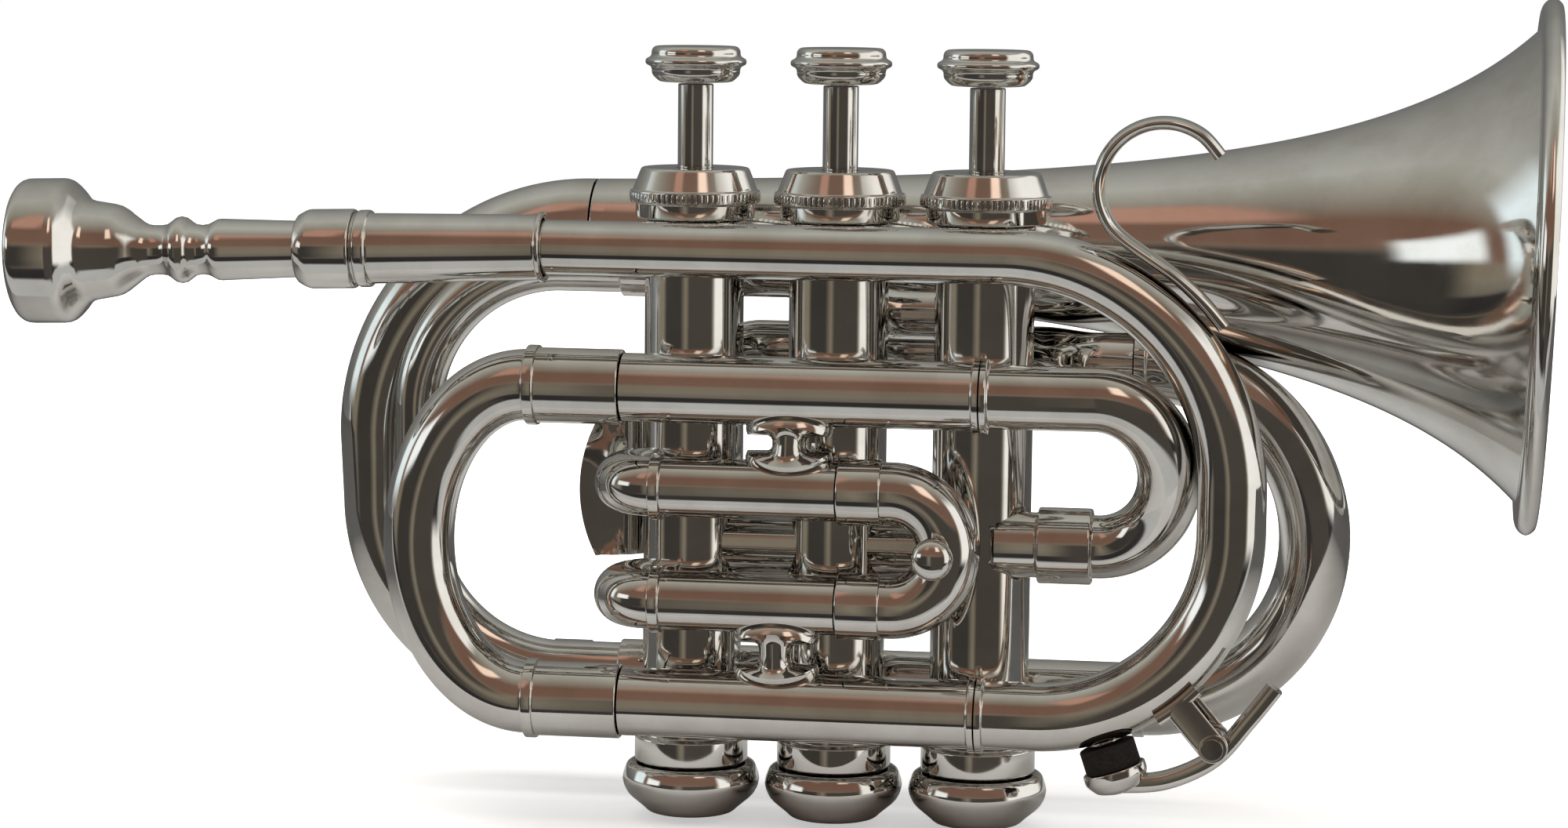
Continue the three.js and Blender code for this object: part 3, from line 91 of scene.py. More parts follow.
WALL = 0.6
SEAM = 0.3
PLANES = Sizes(front=-17, first=-17.3, third=14.2, middle_tube=25, right_bow=17, bell=29)
VALVE = Sizes(
    spacing=26.5, radius=9, wall=0.9, top=48.7, bottom=-50.8, collar_radius=10.4,
    collar_height=4.8, port_level=-8.4, stem_radius=3.2, stem_top=73.2, piston_top=42,
    tube_radius=6.3, tube_level=-9.7,
)
TOP_CAP = Sizes(
    collar_radius=10.8, collar_height=3.1, band_radius=11.8, band_height=2.2, slope_radius=11.35,
    top_radius=9.85, height=9.4, roof=1.5, edge=0.3, knurl_rise=0.12, knurl_margin=0.2, ridges=72,
    ridge_depth=0.22,
)
BOTTOM_CAP = Sizes(
    lip_radius=11.7, belly_radius=12.75, belly_drop=3.6, foot_radius=8.8, foot_drop=8.6, depth=9.6,
    floor=2, pinhole=0.01,
)
BUTTON = Sizes(
    foot_radius=6.6, seat_radius=8, ring_radius=9.15, top_radius=8.05, seat_height=2.7,
    ring_height=1.9, height=6.5, edge=0.7, dish=0.4,
)
MOUTHPIECE = Sizes(
    droop=1.6, pivot_x=-50.2, rim_x=-147.5, rim_radius=13.15, rim_edge=1.1, rim_length=9.1,
    shoulder_radius=11.4, shoulder_end=12.6, cup_radius=9.2, bowl_radius=8.2, bowl_end=18.7,
    taper_end=23.7, neck_radius=4.5, bead_radius=6.05, bead_start=27.5, bead_length=5,
    bulge_start=35.1, bulge_radius=5.65, shank_start=38.5, shank_radius=5.55, shank_end_radius=4.6,
    length=66.3, cup_mouth_radius=8.6, cup_depth=13, throat_radius=1.9, backbore_radius=3.9,
)
RECEIVER = Sizes(
    start_x=-95.7, mouth_radius=6.1, ball_radius=7.15, ball_rise=2, ball_end=10.5,
    waist_radius=6.3, bead_radius=6.95, bead_start=11.2, bead_length=2.2, sleeve_radius=6.35,
    sleeve_end_radius=5.85, end_ring_radius=6.4, end_ring_length=0.9, end_x=-50.6,
)
LEADPIPE = Sizes(
    level=44.3, shank_gap=1.7, radius=4.9, bow_radius=6.1, end_radius=6.1, upper_bend_x=31.95,
    upper_bend=40.3, drop=7.3, lower_bend=34,
)
END_RING = Sizes(radius=6.8, length=1.2)
MAIN = Sizes(
    upper_level=19.6, left_x=-36.1, right_x=27.8, radius=6.15, leg_radius=5.35, leg_length=45,
    ferrule_radius=6.75, ferrule_length=15.2, bead_radius=7.2, bead_length=2, crook_radius=6.4,
    crook_depth=20.1,
)
SMALL_BOW = Sizes(
    radius=5.7, bend_x=47.95, depth=12.95, lower_plane=-4.2, ferrule_radius=6.9,
    ferrule_start_x=47, ferrule_end_x=37.3, stub_radius=5.9, stub_end_x=29.8,
)
FIRST = Sizes(
    upper_level=1.9, span=20.4, radius=5.35, leg_radius=4.55, leg_length=31, ring_radius=5.95,
    ring_length=2, ring_x=-28.9, right_x=2.6, elbow_x=-31, elbow_span=14, elbow_depth=6.2,
    elbow_turn=150, ferrule_radius=5.95, ferrule_length=7.7, crook_radius=5.6, crook_x=12.3,
    knob_radius=3.7, knob_length=6, knob_neck=1.9,
)
SECOND = Sizes(
    upper_level=5, span=18, radius=5.1, leg_radius=4.3, leg_length=8.5, stub_end=19,
    ferrule_radius=5.6, ferrule_length=3, crook_radius=4.9, knob_radius=3.4, knob_length=5,
    knob_neck=1.7,
)
THIRD = Sizes(
    upper_level=38.3, span=75, low_level=31, ramp_start_x=-12, ramp_length=22, left_x=-36,
    radius=4.8, leg_radius=4.05, leg_length=20, crook_radius=4.5, crook_x=-54, crook_bend=27.3,
    ferrule_radius=5.2, ferrule_length=6, elbow=8, knuckle=5, upper_port=18, lower_port=-9,
)
MIDDLE = Sizes(
    level=23.1, radius=5.1, end_radius=6.1, rise=9.5, elbow=8.5, sway_start_x=33, sway_length=14,
)
RIGHT_BOW = Sizes(
    bend_x=54.9, depth=31, radius=6.3, end_radius=6.8, ring_radius=7.2, ring_length=2.4,
)
BOTTOM = Sizes(level=-42, radius=6.8, left_radius=6.8, ring_radius=7.4)
BELL_BOW = Sizes(
    lower_bend=33.6, rise=13, upper_bend=40.6, left_x=-92.2, corner_radius=7.4, side_radius=8,
    top_radius=8.7,
)
BELL = Sizes(
    droop=1.4, rim_x=127.4, rim_radius=49.1, wall=0.7, bead_length=4.3, bead_rise=5.7,
    bead_edge=1.5,
)
SPOOL = Sizes(
    upper_x=-6.2, lower_x=-8.2, post_radius=3, saddle_length=7.8, saddle_width=4.7,
    saddle_height=1.7, flare=0.8, sink=0.05, edge=0.3,
)
STRUT = Sizes(
    post_radius=1.7, flange_radius=3.2, taper_start=2.4, taper_end=2, left_level=46,
    right_level=44,
)
HOOK = Sizes(
    thickness=2.4, width=7, centre_x=59.2, centre_z=57, radius=11.3, tip=30, neck=230,
    foot_start=54, foot_end=37,
)
THUMB = Sizes(
    thickness=1.4, radius=8, axis_x=-44, plane=12.1, top=11, bottom=-13.9, edge_x=-48,
    edge_radius=27, foot_radius=2.6, foot_waist=0.7, foot_level=-1, flare=1, slices=24, arc=16,
)
KEY = Sizes(
    bow_degrees=18.5, nipple_radius=3.1, nipple_end=6.2, cork_radius=5, cork_height=4.5,
    cup_radius=5.7, cup_height=4.1, cup_lip=0.4, arm_thickness=3.2, arm_width=4.4, pivot_x=70,
    pivot_z=-40.8, barrel_radius=2.7, barrel_length=3.4, screw_radius=1.1, head_radius=2,
    head_height=1, ear_thickness=1.1, ear_radius=2.6, ear_gap=8.4, saddle_length=9,
    saddle_thickness=1.2, touch_degrees=17, spring_radius=1.95, spring_wire=0.3, spring_curls=3.5,
    spring_core=0.01, saddle_sink=0.6, saddle_fullness=2.6, ear_sink=1, screw_slack=0.1,
)

# How finely curves are drawn, and how much closer the flare's rings stand towards its rim
FINE = Sizes(
    tube=48, round=64, bell=128, flare=90, bend=2.5, corner=22, least_turn=14, ease=0.3,
    most_ease=0.45, sharp=38, dome=9, ribbon=28, smooth=12, curl=24, crowding=1.6,
)


def at(x, y, z):
    return Vector((x, y, z))


X, Y, Z = at(1, 0, 0), at(0, 1, 0), at(0, 0, 1)
VALVE_X = (-VALVE.spacing, 0, VALVE.spacing)


def mix(a, b, share):
    return a + (b - a) * share


# Forms: lists of points and faces, before they become meshes


class Form:
    """Points and faces of one piece, which can gather several closed shells."""

    def __init__(self):
        self.points = []
        self.faces = []

    def add(self, other):
        start = len(self.points)
        self.points += other.points
        self.faces += [[start + index for index in face] for face in other.faces]
        return self

    def placed(self, place, heading):
        """A form made about +Z, moved to a place and turned to a heading."""
        turn = Z.rotation_difference(heading)
        self.points = [place + turn @ point for point in self.points]
        return self


def lofted(rings, loop=False):
    """A skin through rings of points. A ring of one point closes the skin to a tip."""
    form = Form()
    starts = []
    for ring in rings:
        starts.append(len(form.points))
        form.points += ring
    pairs = [(index, index + 1) for index in range(len(rings) - 1)]
    if loop:
        pairs.append((len(rings) - 1, 0))
    for low, high in pairs:
        one, two = len(rings[low]), len(rings[high])
        for i in range(max(one, two)):
            j = (i + 1) % max(one, two)
            a, b = starts[low] + i % one, starts[low] + j % one
            c, d = starts[high] + j % two, starts[high] + i % two
            face = [a] if one == 1 else [a, b]
            face += [d] if two == 1 else [c, d]
            form.faces.append(face)
    return form


def rounded(points, ease, closed=False):
    """An outline with each real corner eased into a small curve."""
    out = []
    for index, spot in enumerate(points):
        here = Vector(spot)
        back = Vector(points[index - 1]) - here
        on = Vector(points[(index + 1) % len(points)]) - here
        tip = not closed and index in (0, len(points) - 1)
        turn = 180 - math.degrees(back.angle(on, math.pi))
        if tip or turn < FINE.least_turn:
            out.append(tuple(here))
            continue
        first = here + back.normalized() * min(ease, back.length * FINE.most_ease)
        last = here + on.normalized() * min(ease, on.length * FINE.most_ease)
        steps = max(2, math.ceil(turn / FINE.corner))
        for step in range(steps + 1):
            share = step / steps
            out.append(tuple(first.lerp(here, share).lerp(here.lerp(last, share), share)))
    return out


def capped(rings):
    """A skin through rings that a tip closes at either end."""
    tips = [[sum(ring, Vector()) / len(ring)] for ring in (rings[0], rings[-1])]
    return lofted([tips[0], *rings, tips[1]])


def clock(count):
    """The cosine and sine of each step round a circle."""
    turns = [math.tau * step / count for step in range(count)]
    return [(math.cos(turn), math.sin(turn)) for turn in turns]


def circle(place, side, over, radius, sides):
    """Points round a place, in the plane of two square directions."""
    return [place + side * (radius * c) + over * (radius * s) for c, s in clock(sides)]


def turned(outline, ease=FINE.ease, sides=FINE.round):
    """A body of revolution about +Z. Each entry of its outline is a radius and the height or two
    heights there. One that starts on the axis ends on it too; any other closes on itself."""
    solid = outline[0][0] == 0
    spots = [(radius, height) for radius, *heights in outline for height in heights]
    edge = rounded(spots, ease, closed=not solid)
    rings = [
        [at(0, 0, height)] if radius == 0 else circle(at(0, 0, height), X, Y, radius, sides)
        for radius, height in edge
    ]
    return lofted(rings, loop=not solid)


def drum(radius, low, high, inner=0, ease=FINE.ease):
    """A plain cylinder about +Z, or a sleeve."""
    return turned([(inner, low), (radius, low, high), (inner, high)], ease)


def knurled(radius, low, high, ridges, depth):
    """A band about +Z whose outer face is cut into fine upright ridges."""
    foot = radius - 4 * depth
    edge = [
        (foot, low), (radius - depth, low), (radius, low + depth), (radius, high - depth),
        (radius - depth, high), (foot, high),
    ]
    wave = clock(6)
    sides = ridges * len(wave)
    rings = []
    for reach, height in edge:
        cut = depth / 2 if reach == radius else 0
        ring = []
        for index, (c, s) in enumerate(clock(sides)):
            out = reach - cut * (1 - wave[index % len(wave)][0])
            ring.append(at(out * c, out * s, height))
        rings.append(ring)
    return lofted(rings, loop=True)


class Tube:
    """A drawn tube, laid out station by station along its centre line."""

    def __init__(self, place, heading, outer, inner=None):
        self.stations = []
        self.add(place, heading, outer, outer - WALL if inner is None else inner)

    @property
    def end(self):
        return self.stations[-1]

    def add(self, place, heading, outer, inner):
        heading = heading.normalized()
        self.stations.append(Sizes(place=place, heading=heading, outer=outer, inner=inner))
        return self

    def step(self, outer, inner=None):
        end = self.end
        return self.add(end.place, end.heading, outer, end.inner if inner is None else inner)

    def sweep(self, steps, outer, spot):
        """Stations along a curve, on which the radius grows evenly to the outer one.
        For each share of the way, spot gives the place and the heading."""
        start = self.end
        growth = 0 if outer is None else outer - start.outer
        for step in range(1, steps + 1):
            share = step / steps
            place, heading = spot(share)
            self.add(place, heading, start.outer + growth * share, start.inner + growth * share)
        return self

    def straight(self, length, outer=None):
        start = self.end
        return self.sweep(
            1, outer, lambda share: (start.place + start.heading * length * share, start.heading),
        )

    def leg(self, slide):
        """A slide's leg from its hidden end, with the ferrule at its other end."""
        self.straight(slide.leg_length + SEAM).step(slide.ferrule_radius)
        return self.straight(slide.ferrule_length)

    def back_leg(self, slide):
        """The same the other way round."""
        self.step(slide.ferrule_radius).straight(slide.ferrule_length)
        return self.step(slide.leg_radius).straight(slide.leg_length + SEAM)

    def bend(self, radius, towards, outer=None, degrees=90):
        heading = self.end.heading
        inward = (towards - heading * towards.dot(heading)).normalized()
        return self.bow(radius, inward * (2 * radius), degrees, outer)

    def bow(self, depth, across, until=180, outer=None):
        """A half-ellipse that comes back beside itself, or the first part of one."""
        start = self.end
        half = across / 2

        def spot(share):
            turn = math.radians(until * share)
            ahead = start.heading * (depth * math.sin(turn))
            place = start.place + half - half * math.cos(turn) + ahead
            return place, half * math.sin(turn) + start.heading * (depth * math.cos(turn))

        return self.sweep(math.ceil(until / FINE.bend), outer, spot)

    def sway(self, run, shift, outer=None):
        """A shift to one side along the way, which starts and ends along the old heading."""
        start = self.end

        def spot(share):
            aside = shift * (share * share * (3 - 2 * share))
            place = start.place + start.heading * (run * share) + aside
            return place, start.heading * run + shift * (6 * share * (1 - share))

        return self.sweep(math.ceil(run), outer, spot)

    def rings(self, surface, sides, ease):
        """Circles along one surface of the tube, on frames that are carried along without twist."""
        runs = [0.0]
        for before, here in zip(self.stations, self.stations[1:]):
            runs.append(runs[-1] + (here.place - before.place).length)
        outline = rounded([(run, getattr(s, surface)) for run, s in zip(runs, self.stations)], ease)
        first = self.stations[0].heading
        side = Y.copy() if abs(first.y) < 0.7 else Z.copy()
        rings = []
        for run, radius in outline:
            index = min(max(bisect.bisect_right(runs, run), 1), len(runs) - 1)
            low, high = self.stations[index - 1], self.stations[index]
            span = runs[index] - runs[index - 1]
            share = (run - runs[index - 1]) / span if span else 1
            heading = low.heading.lerp(high.heading, share).normalized()
            side = (side - heading * side.dot(heading)).normalized()
            place = low.place.lerp(high.place, share)
            rings.append(circle(place, side, heading.cross(side), radius, sides))
        return rings

    def shell(self, seat_x=None, root_x=None, sides=FINE.tube, ease=FINE.ease):
        """The tube's metal. Its far end is shaped to a casing whose axis is at seat_x, and its near
        end to one at root_x."""
        outer, inner = (self.rings(surface, sides, ease) for surface in ("outer", "inner"))
        ways = ((-1, self.end.heading, seat_x), (0, -self.stations[0].heading, root_x))
        for tip, heading, axis_x in ways:
            if axis_x is not None:
                for rings in (outer, inner):
                    rings[tip] = [seated(point, heading, axis_x) for point in rings[tip]]
        return lofted(outer + inner[::-1], loop=True)


def seated(point, heading, axis_x):
    """Where a line through a point meets the wall of the casing whose axis is at axis_x."""
    reach = VALVE.radius - VALVE.wall / 3
    x, y = point.x - axis_x, point.y
    square = heading.x ** 2 + heading.y ** 2
    middle = (x * heading.x + y * heading.y) / square
    gap = middle ** 2 - (x * x + y * y - reach ** 2) / square
    return point if gap < 0 else point + heading * (-middle - math.sqrt(gap))


def ribbon(spots, width, thickness, ends=(1, 1), edge=0.5):
    """A bent strip with eased edges, along a smooth line in a plane square to Y. The ends' shares
    narrow it at its start and at its end. An edge of 1 makes its section oval, and less makes it
    squarer."""
    line = smooth_line(spots)
    rings = []
    for index, place in enumerate(line):
        before, after = line[max(index - 1, 0)], line[min(index + 1, len(line) - 1)]
        across = (after - before).normalized().cross(Y) * (thickness / 2)
        share = index / (len(line) - 1)
        taper = mix(ends[0], 1, min(1, share * 4)) * mix(ends[1], 1, min(1, (1 - share) * 4))
        along = Y * (width / 2 * taper)
        rings.append([
            place + along * math.copysign(abs(c) ** edge, c)
            + across * math.copysign(abs(s) ** edge, s) for c, s in clock(FINE.ribbon)
        ])
    return capped(rings)


def smooth_line(spots):
    """A line through all the spots."""
    line = []
    for index in range(len(spots) - 1):
        before = spots[max(index - 1, 0)]
        start, end = spots[index], spots[index + 1]
        after = spots[min(index + 2, len(spots) - 1)]
        slope = end - before
        rise = before * 2 - start * 5 + end * 4 - after
        swing = start * 3 - before - end * 3 + after
        for step in range(FINE.smooth):
            t = step / FINE.smooth
            line.append((start * 2 + slope * t + rise * t ** 2 + swing * t ** 3) / 2)
    return line + [spots[-1]]


def arc(centre, radius, start, end, steps):
    """Points round another one, between two angles in degrees from +X towards +Z."""
    turns = [math.radians(mix(start, end, step / steps)) for step in range(steps + 1)]
    return [centre + at(radius * math.cos(turn), 0, radius * math.sin(turn)) for turn in turns]


def knob(slide):
    """A slide's round pull knob about +Z, with a neck, a domed end and a foot sunk in its tube."""
    radius, length, neck = slide.knob_radius, slide.knob_length, slide.knob_neck
    dome = [math.tau / 4 * step / FINE.dome for step in range(1, FINE.dome)]
    high = length * 0.6
    return turned([
        (0, -WALL), (neck, -WALL, length / 4), (radius - length / 8, length / 4),
        (radius, length * 0.4, high),
        *[(radius * math.cos(turn), high + (length - high) * math.sin(turn)) for turn in dome],
        (0, length),
    ], ease=length / 12)


# Pieces on the frame

RECORD = frame["record"]
BODY_OF = {node: body for body, nodes in RECORD["behaviour"]["bodies"].items() for node in nodes}
SLOT_OF = {entry["node"]: entry["material_slot"] for entry in RECORD["subparts"]}
materials = {}


def show(node, form):
    """Makes the mesh of one piece, which stands for a node and rides on that node's body."""
    mesh = bpy.data.meshes.new(node)
    mesh.from_pydata([point * MM for point in form.points], [], form.faces)
    work = bmesh.new()
    work.from_mesh(mesh)
    bmesh.ops.recalc_face_normals(work, faces=work.faces)
    work.to_mesh(mesh)
    work.free()
    mesh.shade_smooth()
    mesh.set_sharp_from_angle(angle=math.radians(FINE.sharp))
    piece = new_object(f"{node}_shape", mesh)
    mesh.materials.append(materials[SLOT_OF[node]])
    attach(piece, BODY_OF[node])
    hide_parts(node)


def reach_of(radius):
    """How far from a casing's axis a tube of this radius meets the casing all round."""
    return math.sqrt(VALVE.radius ** 2 - radius ** 2)


# Valves

BORE = VALVE.radius - VALVE.wall


def valve_casing():
    v = VALVE
    collar_top = v.bottom + v.collar_height
    return turned([
        (BORE, v.bottom), (v.collar_radius, v.bottom, collar_top), (v.radius, collar_top, v.top),
        (BORE, v.top),
    ], ease=0.5)


def top_cap():
    t = TOP_CAP
    base = VALVE.top + SEAM
    top = VALVE.top + t.height
    band_base = VALVE.top + t.collar_height
    band_top = band_base + t.band_height
    hole = VALVE.stem_radius + SEAM
    cap = turned([
        (t.collar_radius, base, band_base), (t.band_radius, band_base, band_top),
        (t.slope_radius, band_top), (t.top_radius, top - t.edge), (t.top_radius - t.edge, top),
        (hole, top, top - t.roof), (BORE, top - t.roof, base),
    ])
    return cap.add(knurled(
        t.band_radius + t.knurl_rise, band_base + t.knurl_margin, band_top - t.knurl_margin,
        t.ridges, t.ridge_depth,
    ))


def bottom_cap():
    b = BOTTOM_CAP
    lid = VALVE.bottom - SEAM
    belly = VALVE.bottom - b.belly_drop
    foot = VALVE.bottom - b.foot_drop
    bottom = VALVE.bottom - b.depth
    inside = bottom + b.floor
    middle = (b.belly_radius + b.foot_radius + b.floor) / 2
    return turned([
        (BORE, lid), (b.lip_radius, lid), (b.belly_radius, belly), (middle, (belly + foot) / 2),
        (b.foot_radius, foot), (b.foot_radius - b.floor / 2, bottom), (b.pinhole, bottom, inside),
        (BORE, inside),
    ], ease=1)


def stem():
    return drum(VALVE.stem_radius, VALVE.piston_top + SEAM, VALVE.stem_top)


def finger_button():
    b = BUTTON
    base = VALVE.stem_top + SEAM
    seat = base + b.seat_height
    ring = seat + b.ring_height
    top = base + b.height
    return turned([
        (0, base), (b.foot_radius, base), (b.seat_radius, base + b.seat_height / 2, seat),
        (b.ring_radius, seat + b.ring_height / 4, ring - b.ring_height / 4),
        (b.top_radius, ring, top - b.edge), (b.top_radius - b.edge, top),
        (b.foot_radius / 2, top - b.dish), (0, top - b.dish),
    ], ease=0.6)


def add_valves():
    for number, x in enumerate(VALVE_X, start=1):
        for make in (valve_casing, top_cap, bottom_cap, stem, finger_button):
            show(f"{make.__name__}_{number}", make().placed(at(x, 0, 0), Z))
    reach = reach_of(VALVE.tube_radius)
    for number, x in enumerate(VALVE_X[:-1], start=1):
        tube = Tube(at(x + reach, 0, VALVE.tube_level), X, VALVE.tube_radius)
        tube.straight(VALVE.spacing - 2 * reach)
        shell = tube.shell(seat_x=x + VALVE.spacing, root_x=x)
        show(f"valve_tube_{number}{number + 1}", shell)


# Mouthpiece, receiver and leadpipe

DROOP = math.radians(MOUTHPIECE.droop)
BLOW = at(math.cos(DROOP), 0, math.sin(DROOP))


def on_droop(x):
    """A point on the mouthpiece's axis, which droops to the left of its pivot."""
    run = (x - MOUTHPIECE.pivot_x) / math.cos(DROOP)
    return at(MOUTHPIECE.pivot_x, PLANES.front, LEADPIPE.level) + BLOW * run


PIPE_START = MOUTHPIECE.length + LEADPIPE.shank_gap
PIPE_START_X = MOUTHPIECE.rim_x + PIPE_START * math.cos(DROOP)


def shank_radius(station):
    share = (station - MOUTHPIECE.shank_start) / (MOUTHPIECE.length - MOUTHPIECE.shank_start)
    return mix(MOUTHPIECE.shank_radius, MOUTHPIECE.shank_end_radius, share)


def add_mouthpiece():
    m = MOUTHPIECE
    bead_end = m.bead_start + m.bead_length
    bead_middle = (m.bead_start + bead_end) / 2
    body = turned([
        (m.cup_mouth_radius, 0), (m.rim_radius - m.rim_edge, 0),
        (m.rim_radius, m.rim_edge, m.rim_length),
        (m.shoulder_radius, (m.rim_length + m.shoulder_end) / 2), (m.cup_radius, m.shoulder_end),
        (m.bowl_radius, m.bowl_end),
        ((m.bowl_radius + m.neck_radius) / 2, (m.bowl_end + m.taper_end) / 2),
        (m.neck_radius, m.taper_end, m.bead_start),
        (m.bead_radius, bead_middle - m.bead_length / 6, bead_middle + m.bead_length / 6),
        (m.neck_radius, bead_end, m.bulge_start),
        (m.bulge_radius, (m.bulge_start + m.shank_start) / 2), (m.shank_radius, m.shank_start),
        (m.shank_end_radius, m.length), (m.backbore_radius, m.length),
        (m.throat_radius, m.bead_start, m.cup_depth + m.rim_edge),
        (m.cup_mouth_radius * 2 / 3, m.cup_depth * 2 / 3),
    ], ease=1.2)
    show("mouthpiece", body.placed(on_droop(m.rim_x), BLOW))


def add_receiver():
    r = RECEIVER
    length = (r.end_x - r.start_x) / math.cos(DROOP)
    offset = (r.start_x - MOUTHPIECE.rim_x) / math.cos(DROOP)
    pipe = PIPE_START - offset - SEAM
    bead_end = r.bead_start + r.bead_length
    end_ring = length - r.end_ring_length
    body = turned([
        (shank_radius(offset) + SEAM, 0), (r.mouth_radius, 0),
        (r.ball_radius, r.ball_rise, r.ball_end), (r.waist_radius, r.ball_end, r.bead_start),
        (r.bead_radius, r.bead_start, bead_end), (r.sleeve_radius, bead_end),
        (r.sleeve_end_radius, end_ring), (r.end_ring_radius, end_ring, length),
        (LEADPIPE.radius + SEAM, length, pipe), (shank_radius(offset + pipe) + SEAM, pipe),
    ], ease=0.6)
    show("mouthpiece_receiver", body.placed(on_droop(r.start_x), BLOW))


UPPER_BEND = at(LEADPIPE.upper_bend_x, PLANES.front, LEADPIPE.level - LEADPIPE.upper_bend)
LOWER_BEND = UPPER_BEND + at(LEADPIPE.upper_bend - LEADPIPE.lower_bend, 0, -LEADPIPE.drop)
LOWER_LEVEL = LOWER_BEND.z - LEADPIPE.lower_bend
KEY_TURN = math.radians(KEY.bow_degrees)
KEY_OUT = at(math.sin(KEY_TURN), 0, -math.cos(KEY_TURN))
KEY_SEAT = LOWER_BEND + KEY_OUT * LEADPIPE.lower_bend


def add_leadpipe():
    p = LEADPIPE
    tube = Tube(on_droop(PIPE_START_X), BLOW, p.radius)
    tube.straight((MOUTHPIECE.pivot_x - PIPE_START_X) / math.cos(DROOP))
    tube.end.heading = X.copy()
    tube.straight(p.upper_bend_x - MOUTHPIECE.pivot_x).bend(p.upper_bend, -Z, p.bow_radius)
    tube.straight(p.drop).bend(p.lower_bend, -X, p.end_radius)
    tube.straight(LOWER_BEND.x - MAIN.right_x - SEAM - END_RING.length)
    tube.step(END_RING.radius).straight(END_RING.length)
    outer = KEY.nipple_radius
    nipple = drum(outer, p.bow_radius - WALL, KEY.nipple_end, inner=outer / 2)
    show("leadpipe_bow", tube.shell().add(nipple.placed(KEY_SEAT, KEY_OUT)))


# Main slide and small bow

def add_main_slide():
    m = MAIN
    for side, level in (("upper", m.upper_level), ("lower", LOWER_LEVEL)):
        start = at(m.right_x, PLANES.front, level)
        tube = Tube(start, -X, END_RING.radius, m.leg_radius + SEAM)
        tube.straight(END_RING.length).step(m.radius)
        tube.straight(m.right_x - m.left_x - END_RING.length)
        show(f"{side}_slide_tube", tube.shell())

    crook = Tube(at(m.left_x + m.leg_length, PLANES.front, m.upper_level), -X, m.leg_radius)
    crook.leg(m).step(m.bead_radius).straight(m.bead_length)
    crook.step(m.crook_radius, m.crook_radius - WALL)
    crook.bow(m.crook_depth, at(0, 0, LOWER_LEVEL - m.upper_level))
    crook.step(m.bead_radius, m.leg_radius - WALL).straight(m.bead_length)
    show("tuning_crook", crook.back_leg(m).shell())


def add_small_bow():
    b = SMALL_BOW
    across = at(0, b.lower_plane - PLANES.front, VALVE.port_level - MAIN.upper_level)
    start = at(MAIN.right_x + SEAM, PLANES.front, MAIN.upper_level)
    tube = Tube(start, X, END_RING.radius, b.radius - WALL)
    tube.straight(END_RING.length).step(b.radius)
    tube.straight(b.bend_x - start.x - END_RING.length).bow(b.depth, across)
    tube.straight(b.bend_x - b.ferrule_start_x).step(b.ferrule_radius)
    tube.straight(b.ferrule_start_x - b.ferrule_end_x).step(b.stub_radius)
    tube.straight(b.ferrule_end_x - b.stub_end_x)
    show("small_bow", tube.shell(seat_x=VALVE.spacing, ease=0.5))


# Valve slides


def add_first_slide():
    f = FIRST
    inner = f.leg_radius + SEAM
    for side, level in (("upper", f.upper_level), ("lower", f.upper_level - f.span)):
        tube = Tube(at(f.right_x, PLANES.first, level), -X, f.radius, inner)
        tube.straight(f.right_x - f.ring_x).step(f.ring_radius).straight(f.ring_length)
        tube.step(f.radius).straight(f.ring_x - f.ring_length - f.elbow_x)
        tube.bow(f.elbow_depth, at(0, f.elbow_span, 0), until=f.elbow_turn)
        show(f"first_slide_{side}_tube", tube.shell(seat_x=VALVE_X[0]))

    run = f.crook_x - f.right_x - SEAM - f.ferrule_length
    start = at(f.right_x - f.leg_length, PLANES.first, f.upper_level)
    crook = Tube(start, X, f.leg_radius).leg(f).step(f.crook_radius)
    crook.straight(run).bow(f.span / 2, at(0, 0, -f.span)).straight(run).back_leg(f)
    seat = at(
        f.crook_x + f.span / 2 - f.knob_neck, PLANES.first - f.crook_radius,
        f.upper_level - f.span / 2,
    )
    show("first_slide_crook", crook.shell().add(knob(f).placed(seat, -Y)))


def add_second_slide():
    s = SECOND
    start = reach_of(s.radius)
    for side, level in (("upper", s.upper_level), ("lower", s.upper_level - s.span)):
        tube = Tube(at(0, start, level), Y, s.radius, s.leg_radius + SEAM)
        tube.straight(s.stub_end - start)
        show(f"second_slide_{side}_stub", tube.shell(root_x=VALVE_X[1]))

    crook = Tube(at(0, s.stub_end - s.leg_length, s.upper_level), Y, s.leg_radius).leg(s)
    crook.step(s.crook_radius).bow(s.span / 2, at(0, 0, -s.span)).back_leg(s)
    back = s.stub_end + SEAM + s.ferrule_length + s.span / 2 + s.crook_radius
    seat = at(0, back, s.upper_level - s.span / 2)
    show("second_slide_crook", crook.shell().add(knob(s).placed(seat, Y)))


